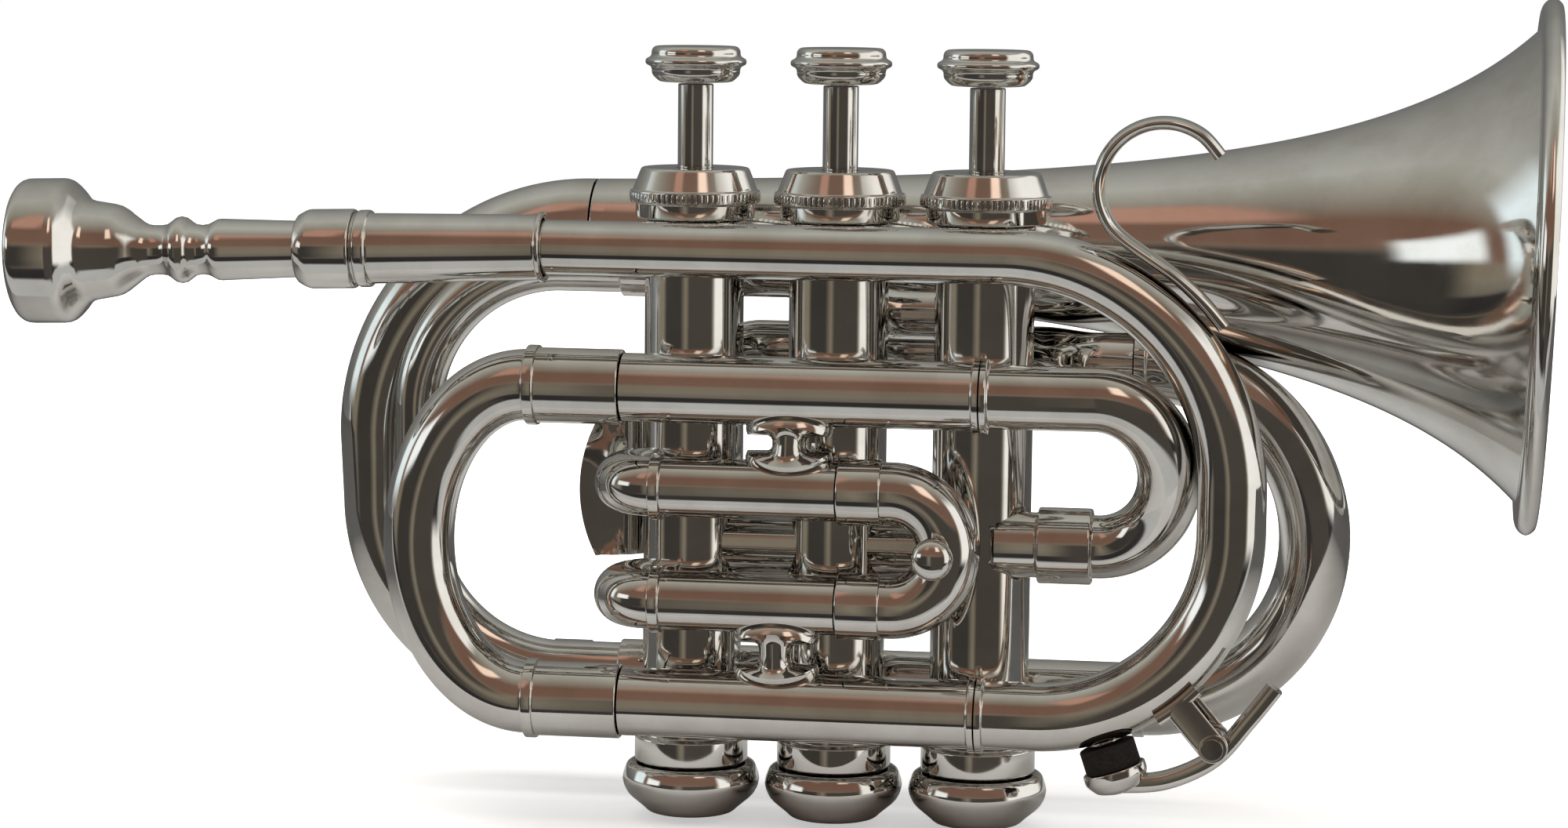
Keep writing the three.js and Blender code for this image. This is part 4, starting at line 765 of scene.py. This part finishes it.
def add_third_slide():
    t = THIRD
    inner = t.leg_radius + SEAM
    lower_level = t.upper_level - t.span
    turn_x = VALVE.spacing - t.elbow

    def ending(tube, towards, fall):
        tube.bend(t.elbow, towards).straight(fall - t.elbow - t.knuckle).bend(t.knuckle, -Y)
        return tube.straight(PLANES.third - t.knuckle - reach_of(t.radius)).shell()

    upper = Tube(at(t.left_x, PLANES.third, t.upper_level), X, t.radius, inner)
    upper.straight(t.ramp_start_x - t.left_x)
    upper.sway(t.ramp_length, at(0, 0, t.low_level - t.upper_level))
    upper.straight(turn_x - t.ramp_start_x - t.ramp_length)
    show("third_slide_upper_tube", ending(upper, -Z, t.low_level - t.upper_port))

    lower = Tube(at(t.left_x, PLANES.third, lower_level), X, t.radius, inner)
    lower.straight(turn_x - t.left_x)
    show("third_slide_lower_tube", ending(lower, Z, t.lower_port - lower_level))

    run = t.left_x - SEAM - t.ferrule_length - t.crook_x
    start = at(t.left_x + t.leg_length, PLANES.third, t.upper_level)
    crook = Tube(start, -X, t.leg_radius).leg(t).step(t.crook_radius)
    crook.straight(run).bend(t.crook_bend, -Z).straight(t.span - 2 * t.crook_bend)
    crook.bend(t.crook_bend, X).straight(run).back_leg(t)
    show("third_slide_crook", crook.shell())


# Back loop and bell

CORNER_X = BELL_BOW.left_x + BELL_BOW.lower_bend
BELL_DROOP = math.radians(BELL.droop)
BELL_AXIS = at(math.cos(BELL_DROOP), 0, -math.sin(BELL_DROOP))


def add_back_loop():
    m = MIDDLE
    start = reach_of(m.radius)
    ring_x = RIGHT_BOW.bend_x - RIGHT_BOW.ring_length
    tube = Tube(at(VALVE_X[0], start, VALVE.port_level), Y, m.radius)
    tube.straight(PLANES.middle_tube - m.rise - start).bend(m.rise, Z)
    tube.straight(m.level - VALVE.port_level - m.rise - m.elbow).bend(m.elbow, X)
    tube.straight(m.sway_start_x - VALVE_X[0] - m.elbow)
    drop = m.end_radius - m.radius
    tube.sway(m.sway_length, at(0, PLANES.right_bow - PLANES.middle_tube, -drop), m.end_radius)
    tube.straight(ring_x - m.sway_start_x - m.sway_length)
    show("middle_tube", tube.shell(root_x=VALVE_X[0]))

    r = RIGHT_BOW
    level = m.level - drop
    across = at(0, PLANES.bell - PLANES.right_bow, BOTTOM.level - level)
    bow = Tube(at(ring_x + SEAM, PLANES.right_bow, level), X, r.ring_radius, r.radius - WALL)
    bow.straight(r.ring_length - SEAM).step(r.radius).bow(r.depth, across, outer=r.end_radius)
    bow.step(r.ring_radius).straight(r.ring_length - SEAM)
    show("right_back_bow", bow.shell())

    b = BOTTOM
    bottom = Tube(at(ring_x, PLANES.bell, b.level), -X, b.radius)
    bottom.straight(ring_x - CORNER_X - b.ring_radius, b.left_radius)
    bottom.step(b.ring_radius).straight(b.ring_radius - SEAM)
    show("bottom_back_tube", bottom.shell())


def add_bell():
    """The flare's radius grows as one over the distance to a point beyond the rim."""
    w = BELL_BOW
    bow = Tube(at(CORNER_X, PLANES.bell, BOTTOM.level), -X, BOTTOM.left_radius)
    bow.bend(w.lower_bend, Z, w.corner_radius).straight(w.rise, w.side_radius)
    bow.bend(w.upper_bend, X, w.top_radius, degrees=90 + BELL.droop)
    show("bell_bow", bow.shell())

    b = BELL
    start = bow.end.place + BELL_AXIS * SEAM
    length = (b.rim_x - start.x) / math.cos(BELL_DROOP)
    flare_end = length - b.bead_length
    mouth = b.rim_radius - b.bead_rise
    pull = w.top_radius / (mouth - w.top_radius)
    shares = [1 - (1 - step / FINE.flare) ** FINE.crowding for step in range(FINE.flare + 1)]
    outside = [(mouth * pull / (1 - share + pull), share * flare_end) for share in shares]
    inside = [(radius - b.wall, height) for radius, height in outside]
    bead = rounded([
        outside[-1], (b.rim_radius - b.bead_edge, flare_end),
        (b.rim_radius, flare_end + b.bead_edge), (b.rim_radius, length - b.bead_edge),
        (b.rim_radius - b.bead_edge, length), inside[-1],
    ], b.bead_edge)
    body = turned([*outside[:-1], *bead[:-1], *inside[::-1]], sides=FINE.bell)
    show("bell", body.placed(start, BELL_AXIS))


# Braces

# Posts start this far from a casing's axis, in the middle of its wall.
FOOT = VALVE.radius - VALVE.wall / 2


def add_struts():
    """Posts from the outer casings to the bell's tube behind and to the leadpipe in front."""
    s = STRUT
    to_bell = PLANES.bell - BELL_BOW.top_radius + WALL
    to_pipe = -PLANES.front - LEADPIPE.radius + WALL
    sides = ((VALVE_X[0], "left", s.left_level), (VALVE_X[2], "right", s.right_level))
    for x, side, level in sides:
        for tube, height, heading, end, waist in (
            ("bell", level, Y, to_bell, (FOOT + s.taper_start, to_bell - s.taper_end)),
            ("leadpipe", LEADPIPE.level, -Y, to_pipe, (FOOT + s.taper_end,)),
        ):
            post = turned([
                (0, FOOT), (s.flange_radius, FOOT), *[(s.post_radius, spot) for spot in waist],
                (s.flange_radius, end), (0, end),
            ], ease=0.8)
            show(f"{tube}_strut_{side}", post.placed(at(x, 0, height), heading))


def saddle_ring(x, plane, level, radius, up, along, across, lift):
    """An oval round a spool's axis, wrapped over the tube that carries it and lifted off it."""
    reach = radius + lift
    wraps = [(x + along * c, across * s / radius) for c, s in clock(FINE.tube)]
    return [
        at(x, plane + reach * math.sin(wrap), level + up * reach * math.cos(wrap))
        for x, wrap in wraps
    ]


def add_spool(node, x, low, high):
    """A waisted post between two tubes, whose feet are thin saddles that wrap over them."""
    s = SPOOL
    ovals = [
        (s.saddle_length, s.saddle_width, -s.sink),
        (s.saddle_length, s.saddle_width, s.saddle_height / 2),
        (s.saddle_length - s.edge, s.saddle_width - s.edge, s.saddle_height),
    ]
    # The share of the foot's flare that is left, by the height over the saddle.
    for share, lift in ((1, 0.1), (1 / 3, 0.4), (0, 0.9)):
        reach = s.post_radius + s.flare * share
        ovals.append((reach, reach, s.saddle_height + lift))
    low_foot, high_foot = ([saddle_ring(x, *tube, *oval) for oval in ovals] for tube in (low, high))
    waist = [mix(a, b, 0.5) for a, b in zip(low_foot[-1], high_foot[-1])]
    show(node, capped([*low_foot, waist, *high_foot[::-1]]))


def add_spools():
    m, f = MAIN, FIRST
    above = (PLANES.front, m.upper_level, m.radius, -1)
    upper = (PLANES.first, f.upper_level, f.radius, 1)
    lower = (PLANES.first, f.upper_level - f.span, f.radius, -1)
    below = (PLANES.front, LOWER_LEVEL, m.radius, 1)
    add_spool("upper_spool_brace", SPOOL.upper_x, upper, above)
    add_spool("lower_spool_brace", SPOOL.lower_x, below, lower)


def add_finger_hook():
    h = HOOK
    foot = LEADPIPE.upper_bend + LEADPIPE.bow_radius + SEAM + h.thickness / 2
    centre = at(h.centre_x, PLANES.front, h.centre_z)
    curl = arc(centre, h.radius, h.tip, h.neck, steps=8)
    base = arc(UPPER_BEND, foot, h.foot_start, h.foot_end, steps=3)
    show("finger_hook", ribbon([*curl, *base], h.width, h.thickness, ends=(0.6, 0.5), edge=0.9))


def add_thumb_saddle():
    """A trough with an upright axis: level slices of a U, cut back to the rounded edge."""
    t = THUMB
    middle = (t.top + t.bottom) / 2
    turns = [math.radians(-90 + 180 * step / t.arc) for step in range(t.arc + 1)]
    rings = []
    for level in [mix(t.bottom, t.top, step / t.slices) for step in range(t.slices + 1)]:
        edge = t.edge_x + t.edge_radius - math.sqrt(t.edge_radius ** 2 - (level - middle) ** 2)
        ring = []
        for radius, way in ((t.radius + t.thickness, 1), (t.radius, -1)):
            wide = (radius + t.flare) * way
            curve = [
                (t.axis_x + radius * math.cos(turn), radius * math.sin(turn)) for turn in turns
            ]
            outline = [(edge, -wide), *curve[::way], (edge, wide)]
            ring += [at(x, t.plane + aside, level) for x, aside in outline]
        rings.append(ring)
    form = lofted(rings)
    side = len(rings[0])
    for first in (0, len(form.points) - side):
        last = first + side - 1
        for step in range(side // 2 - 1):
            form.faces.append([first + step, first + step + 1, last - step - 1, last - step])
    heading = at(t.axis_x - VALVE_X[0], t.plane, 0)
    length = heading.length - t.radius - t.thickness / 2
    foot = turned([
        (0, FOOT), (t.foot_radius, FOOT), (t.foot_radius * t.foot_waist, (FOOT + length) / 2),
        (t.foot_radius, length), (0, length),
    ], ease=0.8)
    form.add(foot.placed(at(VALVE_X[0], 0, t.foot_level), heading.normalized()))
    show("thumb_saddle", form)


# Water key

PIVOT = at(KEY.pivot_x, PLANES.front, KEY.pivot_z)
EAR_OUT = (PIVOT - LOWER_BEND).normalized()
EAR_TURN = math.degrees(math.atan2(EAR_OUT.z, EAR_OUT.x))
PIVOT_RADIUS = (PIVOT - LOWER_BEND).length
BARREL_START = -KEY.ear_gap / 2 + SEAM
BARREL_END = BARREL_START + KEY.barrel_length


def add_key_saddle():
    k = KEY
    surface = LEADPIPE.lower_bend + LEADPIPE.end_radius
    half = math.degrees(k.saddle_length / 2 / surface)
    spots = arc(LOWER_BEND, surface - k.saddle_sink, EAR_TURN - half, EAR_TURN + half, steps=4)
    width = k.ear_gap + 2 * k.ear_thickness
    base = ribbon(spots, width, k.saddle_thickness * k.saddle_fullness)
    reaches = (surface - k.ear_sink, (surface + PIVOT_RADIUS) / 2, PIVOT_RADIUS)
    for side in (-1, 1):
        aside = Y * (side * (k.ear_gap + k.ear_thickness) / 2)
        ear = drum(k.ear_radius, -0.5, 0.5, ease=0.2)
        ear.points = [at(p.x, p.y, p.z * k.ear_thickness) for p in ear.points]
        base.add(ear.placed(PIVOT + aside, Y))
        spots = [LOWER_BEND + EAR_OUT * reach + aside for reach in reaches]
        base.add(ribbon(spots, k.ear_thickness, 2 * k.ear_radius))
    show("water_key_saddle", base)


def add_key_screw():
    k = KEY
    half = k.ear_gap / 2 + k.ear_thickness
    seat = half + SEAM
    screw = turned([
        (0, -half), (k.screw_radius, -half, seat), (k.head_radius, seat, seat + k.head_height),
        (0, seat + k.head_height),
    ], ease=0.25)
    show("water_key_screw", screw.placed(PIVOT, -Y))


def add_key_cork():
    k = KEY
    base = k.nipple_end + SEAM
    cork = drum(k.cork_radius, base, base + k.cork_height, ease=0.4)
    show("water_key_cork", cork.placed(KEY_SEAT, KEY_OUT))


def add_key_lever():
    k = KEY
    floor = k.nipple_end + k.cork_height + 2 * SEAM
    top = floor + k.cup_height
    lip = floor - k.cup_lip
    cup = turned([
        (0, floor), (k.cork_radius + SEAM, floor, lip),
        (k.cup_radius, lip, floor + k.cup_height / 3),
        (k.cup_radius * 3 / 4, top - k.cup_height / 5), (k.cup_radius / 3, top), (0, top),
    ], ease=0.5).placed(KEY_SEAT, KEY_OUT)
    cup_end = KEY_SEAT + KEY_OUT * (top - k.arm_thickness / 2)
    under = PIVOT - Z * k.barrel_radius
    middle = (cup_end + under) / 2 - Z * (k.arm_thickness / 2)
    reach = PIVOT_RADIUS + k.barrel_radius - k.arm_thickness / 2
    touch = arc(LOWER_BEND, reach, EAR_TURN, EAR_TURN + k.touch_degrees, steps=2)
    arm = ribbon([cup_end, middle, under, *touch[1:]], k.arm_width, k.arm_thickness)
    hole = k.screw_radius + k.screw_slack
    barrel = drum(k.barrel_radius, BARREL_START, BARREL_END, inner=hole)
    show("water_key_lever", cup.add(arm).add(barrel.placed(PIVOT, Y)))


def add_key_spring():
    k = KEY
    low = BARREL_END + SEAM + k.spring_wire
    high = k.ear_gap / 2 - SEAM - k.spring_wire
    around = math.tau * k.spring_curls
    climb = (high - low) / (around * k.spring_radius)

    def spot(share):
        turn = around * share
        c, s = math.cos(turn), math.sin(turn)
        place = at(k.spring_radius * c, k.spring_radius * s, mix(low, high, share))
        return place, at(-s, c, climb)

    wire = Tube(*spot(0), k.spring_wire, k.spring_core)
    wire.sweep(round(k.spring_curls * FINE.curl), None, spot)
    show("water_key_spring", wire.shell(sides=10, ease=0.05).placed(PIVOT, Y))


# Materials


class Wiring:
    """Short ways to add nodes to one node tree and to join them."""

    def __init__(self, tree):
        self.tree = tree

    def feed(self, socket, value):
        """Sets a socket to a value, or links it where the value is another socket."""
        if hasattr(value, "links"):
            self.tree.links.new(value, socket)
        else:
            socket.default_value = value

    def node(self, kind, **values):
        made = self.tree.nodes.new(kind)
        for name, value in values.items():
            if name in made.inputs:
                self.feed(made.inputs[name], value)
            else:
                setattr(made, name, value)
        return made

    def paint(self, **values):
        """Sets sockets of the shader. An underscore stands for a space in a socket's name."""
        for name, value in values.items():
            self.feed(self.tree.nodes["Principled BSDF"].inputs[name.replace("_", " ")], value)

    def calc(self, operation, *values):
        made = self.node("ShaderNodeMath", operation=operation)
        for socket, value in zip(made.inputs, values):
            self.feed(socket, value)
        return made.outputs[0]

    def ramp(self, value, stops):
        """A colour ramp over a value. Each stop is a place and a colour or a grey."""
        made = self.node("ShaderNodeValToRGB", Fac=value)
        elements = made.color_ramp.elements
        while len(elements) > 1:
            elements.remove(elements[-1])
        for index, (place, colour) in enumerate(stops):
            element = elements[0] if index == 0 else elements.new(place)
            element.position = place
            element.color = (*colour, 1) if hasattr(colour, "__len__") else (colour,) * 3 + (1,)
        return made.outputs["Color"]

    def blend(self, factor, first, second, **kind):
        made = self.node("ShaderNodeMix", data_type="RGBA", Factor=factor, **kind)
        self.feed(made.inputs[6], first)
        self.feed(made.inputs[7], second)
        return made.outputs[2]

    def spread(self, value, start, end, low, high, **kind):
        """Spreads the values from start to end over those from low to high."""
        limits = {"From Min": start, "From Max": end, "To Min": low, "To Max": high}
        made = self.node("ShaderNodeMapRange", Value=value, **kind, **limits)
        return made.outputs["Result"]

    def noise(self, place, **values):
        return self.node("ShaderNodeTexNoise", Vector=place, **values).outputs["Fac"]

    def bump(self, **values):
        return self.node("ShaderNodeBump", **values).outputs["Normal"]


def new_material(name):
    """Makes a material and returns the wiring of its nodes."""
    material = materials[name] = bpy.data.materials.new(name)
    material.use_nodes = True
    return Wiring(material.node_tree)


def metal(name, clean, dull, low, high, wave):
    """Plated metal with smudges, painted shade that darkens its creases, and slight waves."""
    wiring = new_material(name)
    place = wiring.node("ShaderNodeTexCoord").outputs["Object"]
    smudge = wiring.noise(place, Scale=70.0, Detail=6.0, Roughness=0.62)
    grain = wiring.noise(place, Scale=900.0, Detail=3.0)
    dent = wiring.noise(place, Scale=38.0, Detail=1.0)
    tint = wiring.ramp(smudge, [(0.38, dull), (0.58, clean)])
    # Painted shade: ambient occlusion darkens the colour in creases and where parts stand close
    # together.
    crease = wiring.node("ShaderNodeAmbientOcclusion", samples=4, Distance=0.0025).outputs["AO"]
    painted_crease_shade = wiring.ramp(crease, [(0.15, (0.2, 0.19, 0.17)), (0.6, (1, 1, 1))])
    soft = wiring.bump(Height=dent, Strength=1.0, Distance=wave)
    fine = wiring.bump(Height=grain, Strength=0.25, Distance=0.000004, Normal=soft)
    colour = wiring.blend(1, tint, painted_crease_shade, blend_type="MULTIPLY")
    rough = wiring.spread(smudge, 0.35, 0.7, low, high)
    wiring.paint(Metallic=1, Base_Color=colour, Roughness=rough, Normal=fine)


def matter(name, light, dark, scale, roughness, depth):
    """A dull material whose colour and surface vary with grain."""
    wiring = new_material(name)
    place = wiring.node("ShaderNodeTexCoord").outputs["Object"]
    grain = wiring.noise(place, Scale=scale, Detail=8.0, Roughness=0.7)
    colour = wiring.ramp(grain, [(0.35, dark), (0.65, light)])
    relief = wiring.bump(Height=grain, Strength=0.7, Distance=depth)
    wiring.paint(Base_Color=colour, Roughness=roughness, Normal=relief)


def make_materials():
    metal(
        "nickel", clean=(0.8, 0.785, 0.755), dull=(0.71, 0.69, 0.65), low=0.03, high=0.1,
        wave=0.00006,
    )
    metal(
        "steel", clean=(0.5, 0.5, 0.5), dull=(0.33, 0.32, 0.3), low=0.22, high=0.42, wave=0.00002,
    )
    matter(
        "cork", light=(0.024, 0.021, 0.018), dark=(0.007, 0.006, 0.005), scale=1800.0,
        roughness=0.85, depth=0.0001,
    )
    matter(
        "felt", light=(0.05, 0.05, 0.05), dark=(0.02, 0.02, 0.02), scale=4000.0,
        roughness=0.95, depth=0.00015,
    )


def dress_kept_nodes():
    """CAD nodes that stay in view, such as the pistons and their springs, get the same finishes."""
    for name, node in frame["nodes"].items():
        if not node.hide_render:
            node.data.materials.clear()
            node.data.materials.append(materials[SLOT_OF[name]])


# Studio

# The floor's shade and glow are each a near and a far distance in metres, and the values there.
STUDIO = Sizes(
    floor_gap=0.3, floor_front=-57, floor_back=1500, floor_side=900, shade=(0.13, 0.26, 0.6, 0.12),
    glow=(0.08, 0.3, 0.5, 1.2), lamp_front=-200, lamp_height=1100, lamp_size=1400, lamp_power=14,
)


def add_floor():
    """A pale table, which fades to white for the camera and darkens for what the metal mirrors."""
    s = STUDIO
    level = cad_box[0][2] - s.floor_gap * MM
    mesh = bpy.data.meshes.new("floor")
    mesh.from_pydata([
        (x * MM, y * MM, level) for y in (s.floor_front, s.floor_back)
        for x in (-s.floor_side, s.floor_side)
    ], [], [(0, 1, 3, 2)])
    wiring = new_material("floor")
    seen = wiring.node("ShaderNodeLightPath").outputs["Is Camera Ray"]
    size = wiring.node("ShaderNodeVectorMath", operation="LENGTH")
    wiring.feed(size.inputs[0], wiring.node("ShaderNodeTexCoord").outputs["Object"])
    far = size.outputs["Value"]
    glow = wiring.spread(far, *s.glow, interpolation_type="SMOOTHSTEP")
    shade = wiring.spread(far, *s.shade)
    wiring.paint(
        Base_Color=wiring.blend(seen, shade, (0.9, 0.9, 0.9, 1)), Roughness=0.9,
        Specular_IOR_Level=0, Emission_Color=(1, 1, 1, 1),
        Emission_Strength=wiring.calc("MULTIPLY", glow, seen),
    )
    mesh.materials.append(materials["floor"])
    floor = new_object("floor", mesh)


def add_lamp():
    s = STUDIO
    data = bpy.data.lights.new("lamp", "AREA")
    data.shape = "SQUARE"
    data.size = s.lamp_size * MM
    data.energy = s.lamp_power
    lamp = new_object("lamp", data)
    lamp.location = (0, s.lamp_front * MM, s.lamp_height * MM)
    lamp.visible_glossy = False


# The room by the angle round the X axis: 0 straight in front, 90 overhead, 180 behind.
ROOM = [
    (-180, 0.14), (-120, 0.25), (-100, (0.5, 0.5, 0.49)), (-44, (0.5, 0.5, 0.49)), (-40, 0.03),
    (-26, (0.035, 0.03, 0.03)), (-23, (0.18, 0.16, 0.13)), (-8, (0.24, 0.21, 0.16)),
    (9, (0.24, 0.2, 0.15)), (18, (0.2, 0.117, 0.084)), (43, (0.195, 0.112, 0.079)),
    (51, (0.24, 0.19, 0.15)), (70, (0.37, 0.35, 0.3)), (90, (0.48, 0.48, 0.44)),
    (112, (0.4, 0.4, 0.37)), (142, (0.27, 0.27, 0.25)), (180, 0.14),
]
# Patches on it: the turn to the right and the height, in degrees, and the colour. Each patch fades
# at its edges.
PATCHES = [
    ((-66, -58, -22, -10), (-28, -18, 8, 14), (0.05, 0.045, 0.04)),
    ((-9, -2, 50, 54), (-44, -36, 8, 14), (0.07, 0.061, 0.052)),
    ((54, 60, 132, 146), (-16, -10, 34, 44), (1.05, 1.03, 0.98)),
    ((-104, -98, -80, -76), (-2, 4, 20, 30), (0.95, 1.08, 1.12)),
    ((-72, -68, -48, -44), (3, 6, 15, 18), (1.1, 1.15, 1.15)),
    ((14, 20, 34, 40), (30, 35, 52, 58), (1.2, 0.9, 0.72)),
    ((-40, -34, -22, -16), (34, 40, 54, 60), (0.5, 0.28, 0.21)),
]


def add_world():
    """A plain room by direction, white to the camera."""
    world = bpy.data.worlds.new("room")
    bpy.context.scene.world = world
    world.use_nodes = True
    wiring = Wiring(world.node_tree)
    way = wiring.node("ShaderNodeTexCoord").outputs["Generated"]
    parts = wiring.node("ShaderNodeSeparateXYZ", Vector=way)
    ahead = wiring.calc("MULTIPLY", parts.outputs["Y"], -1.0)

    def share_of(radians):
        return wiring.calc("ADD", wiring.calc("DIVIDE", radians, math.tau), 0.5)

    def faded(angle, stops):
        """1 between the two middle angles, 0 outside the outer two."""
        return wiring.ramp(angle, zip([(stop + 180) / 360 for stop in stops], (0, 1, 1, 0)))

    over = share_of(wiring.calc("ARCTAN2", parts.outputs["Z"], ahead))
    turn = share_of(wiring.calc("ARCTAN2", parts.outputs["X"], ahead))
    height = share_of(wiring.calc("ARCSINE", parts.outputs["Z"]))
    colour = wiring.ramp(over, [((angle + 180) / 360, tone) for angle, tone in ROOM])
    for turns, heights, tone in PATCHES:
        inside = wiring.calc("MULTIPLY", faded(turn, turns), faded(height, heights))
        colour = wiring.blend(inside, colour, (*tone, 1))
    seen = wiring.node("ShaderNodeLightPath").outputs["Is Camera Ray"]
    background = world.node_tree.nodes["Background"].inputs["Color"]
    wiring.feed(background, wiring.blend(seen, colour, (1, 1, 1, 1)))


bpy.context.scene.view_settings.view_transform = "Standard"
for build in (
    add_camera, make_materials, add_valves, add_mouthpiece, add_receiver, add_leadpipe,
    add_main_slide, add_small_bow, add_first_slide, add_second_slide, add_third_slide,
    add_back_loop, add_bell, add_struts, add_spools, add_finger_hook, add_thumb_saddle,
    add_key_saddle, add_key_screw, add_key_cork, add_key_lever, add_key_spring,
    dress_kept_nodes, add_floor, add_lamp, add_world,
):
    build()
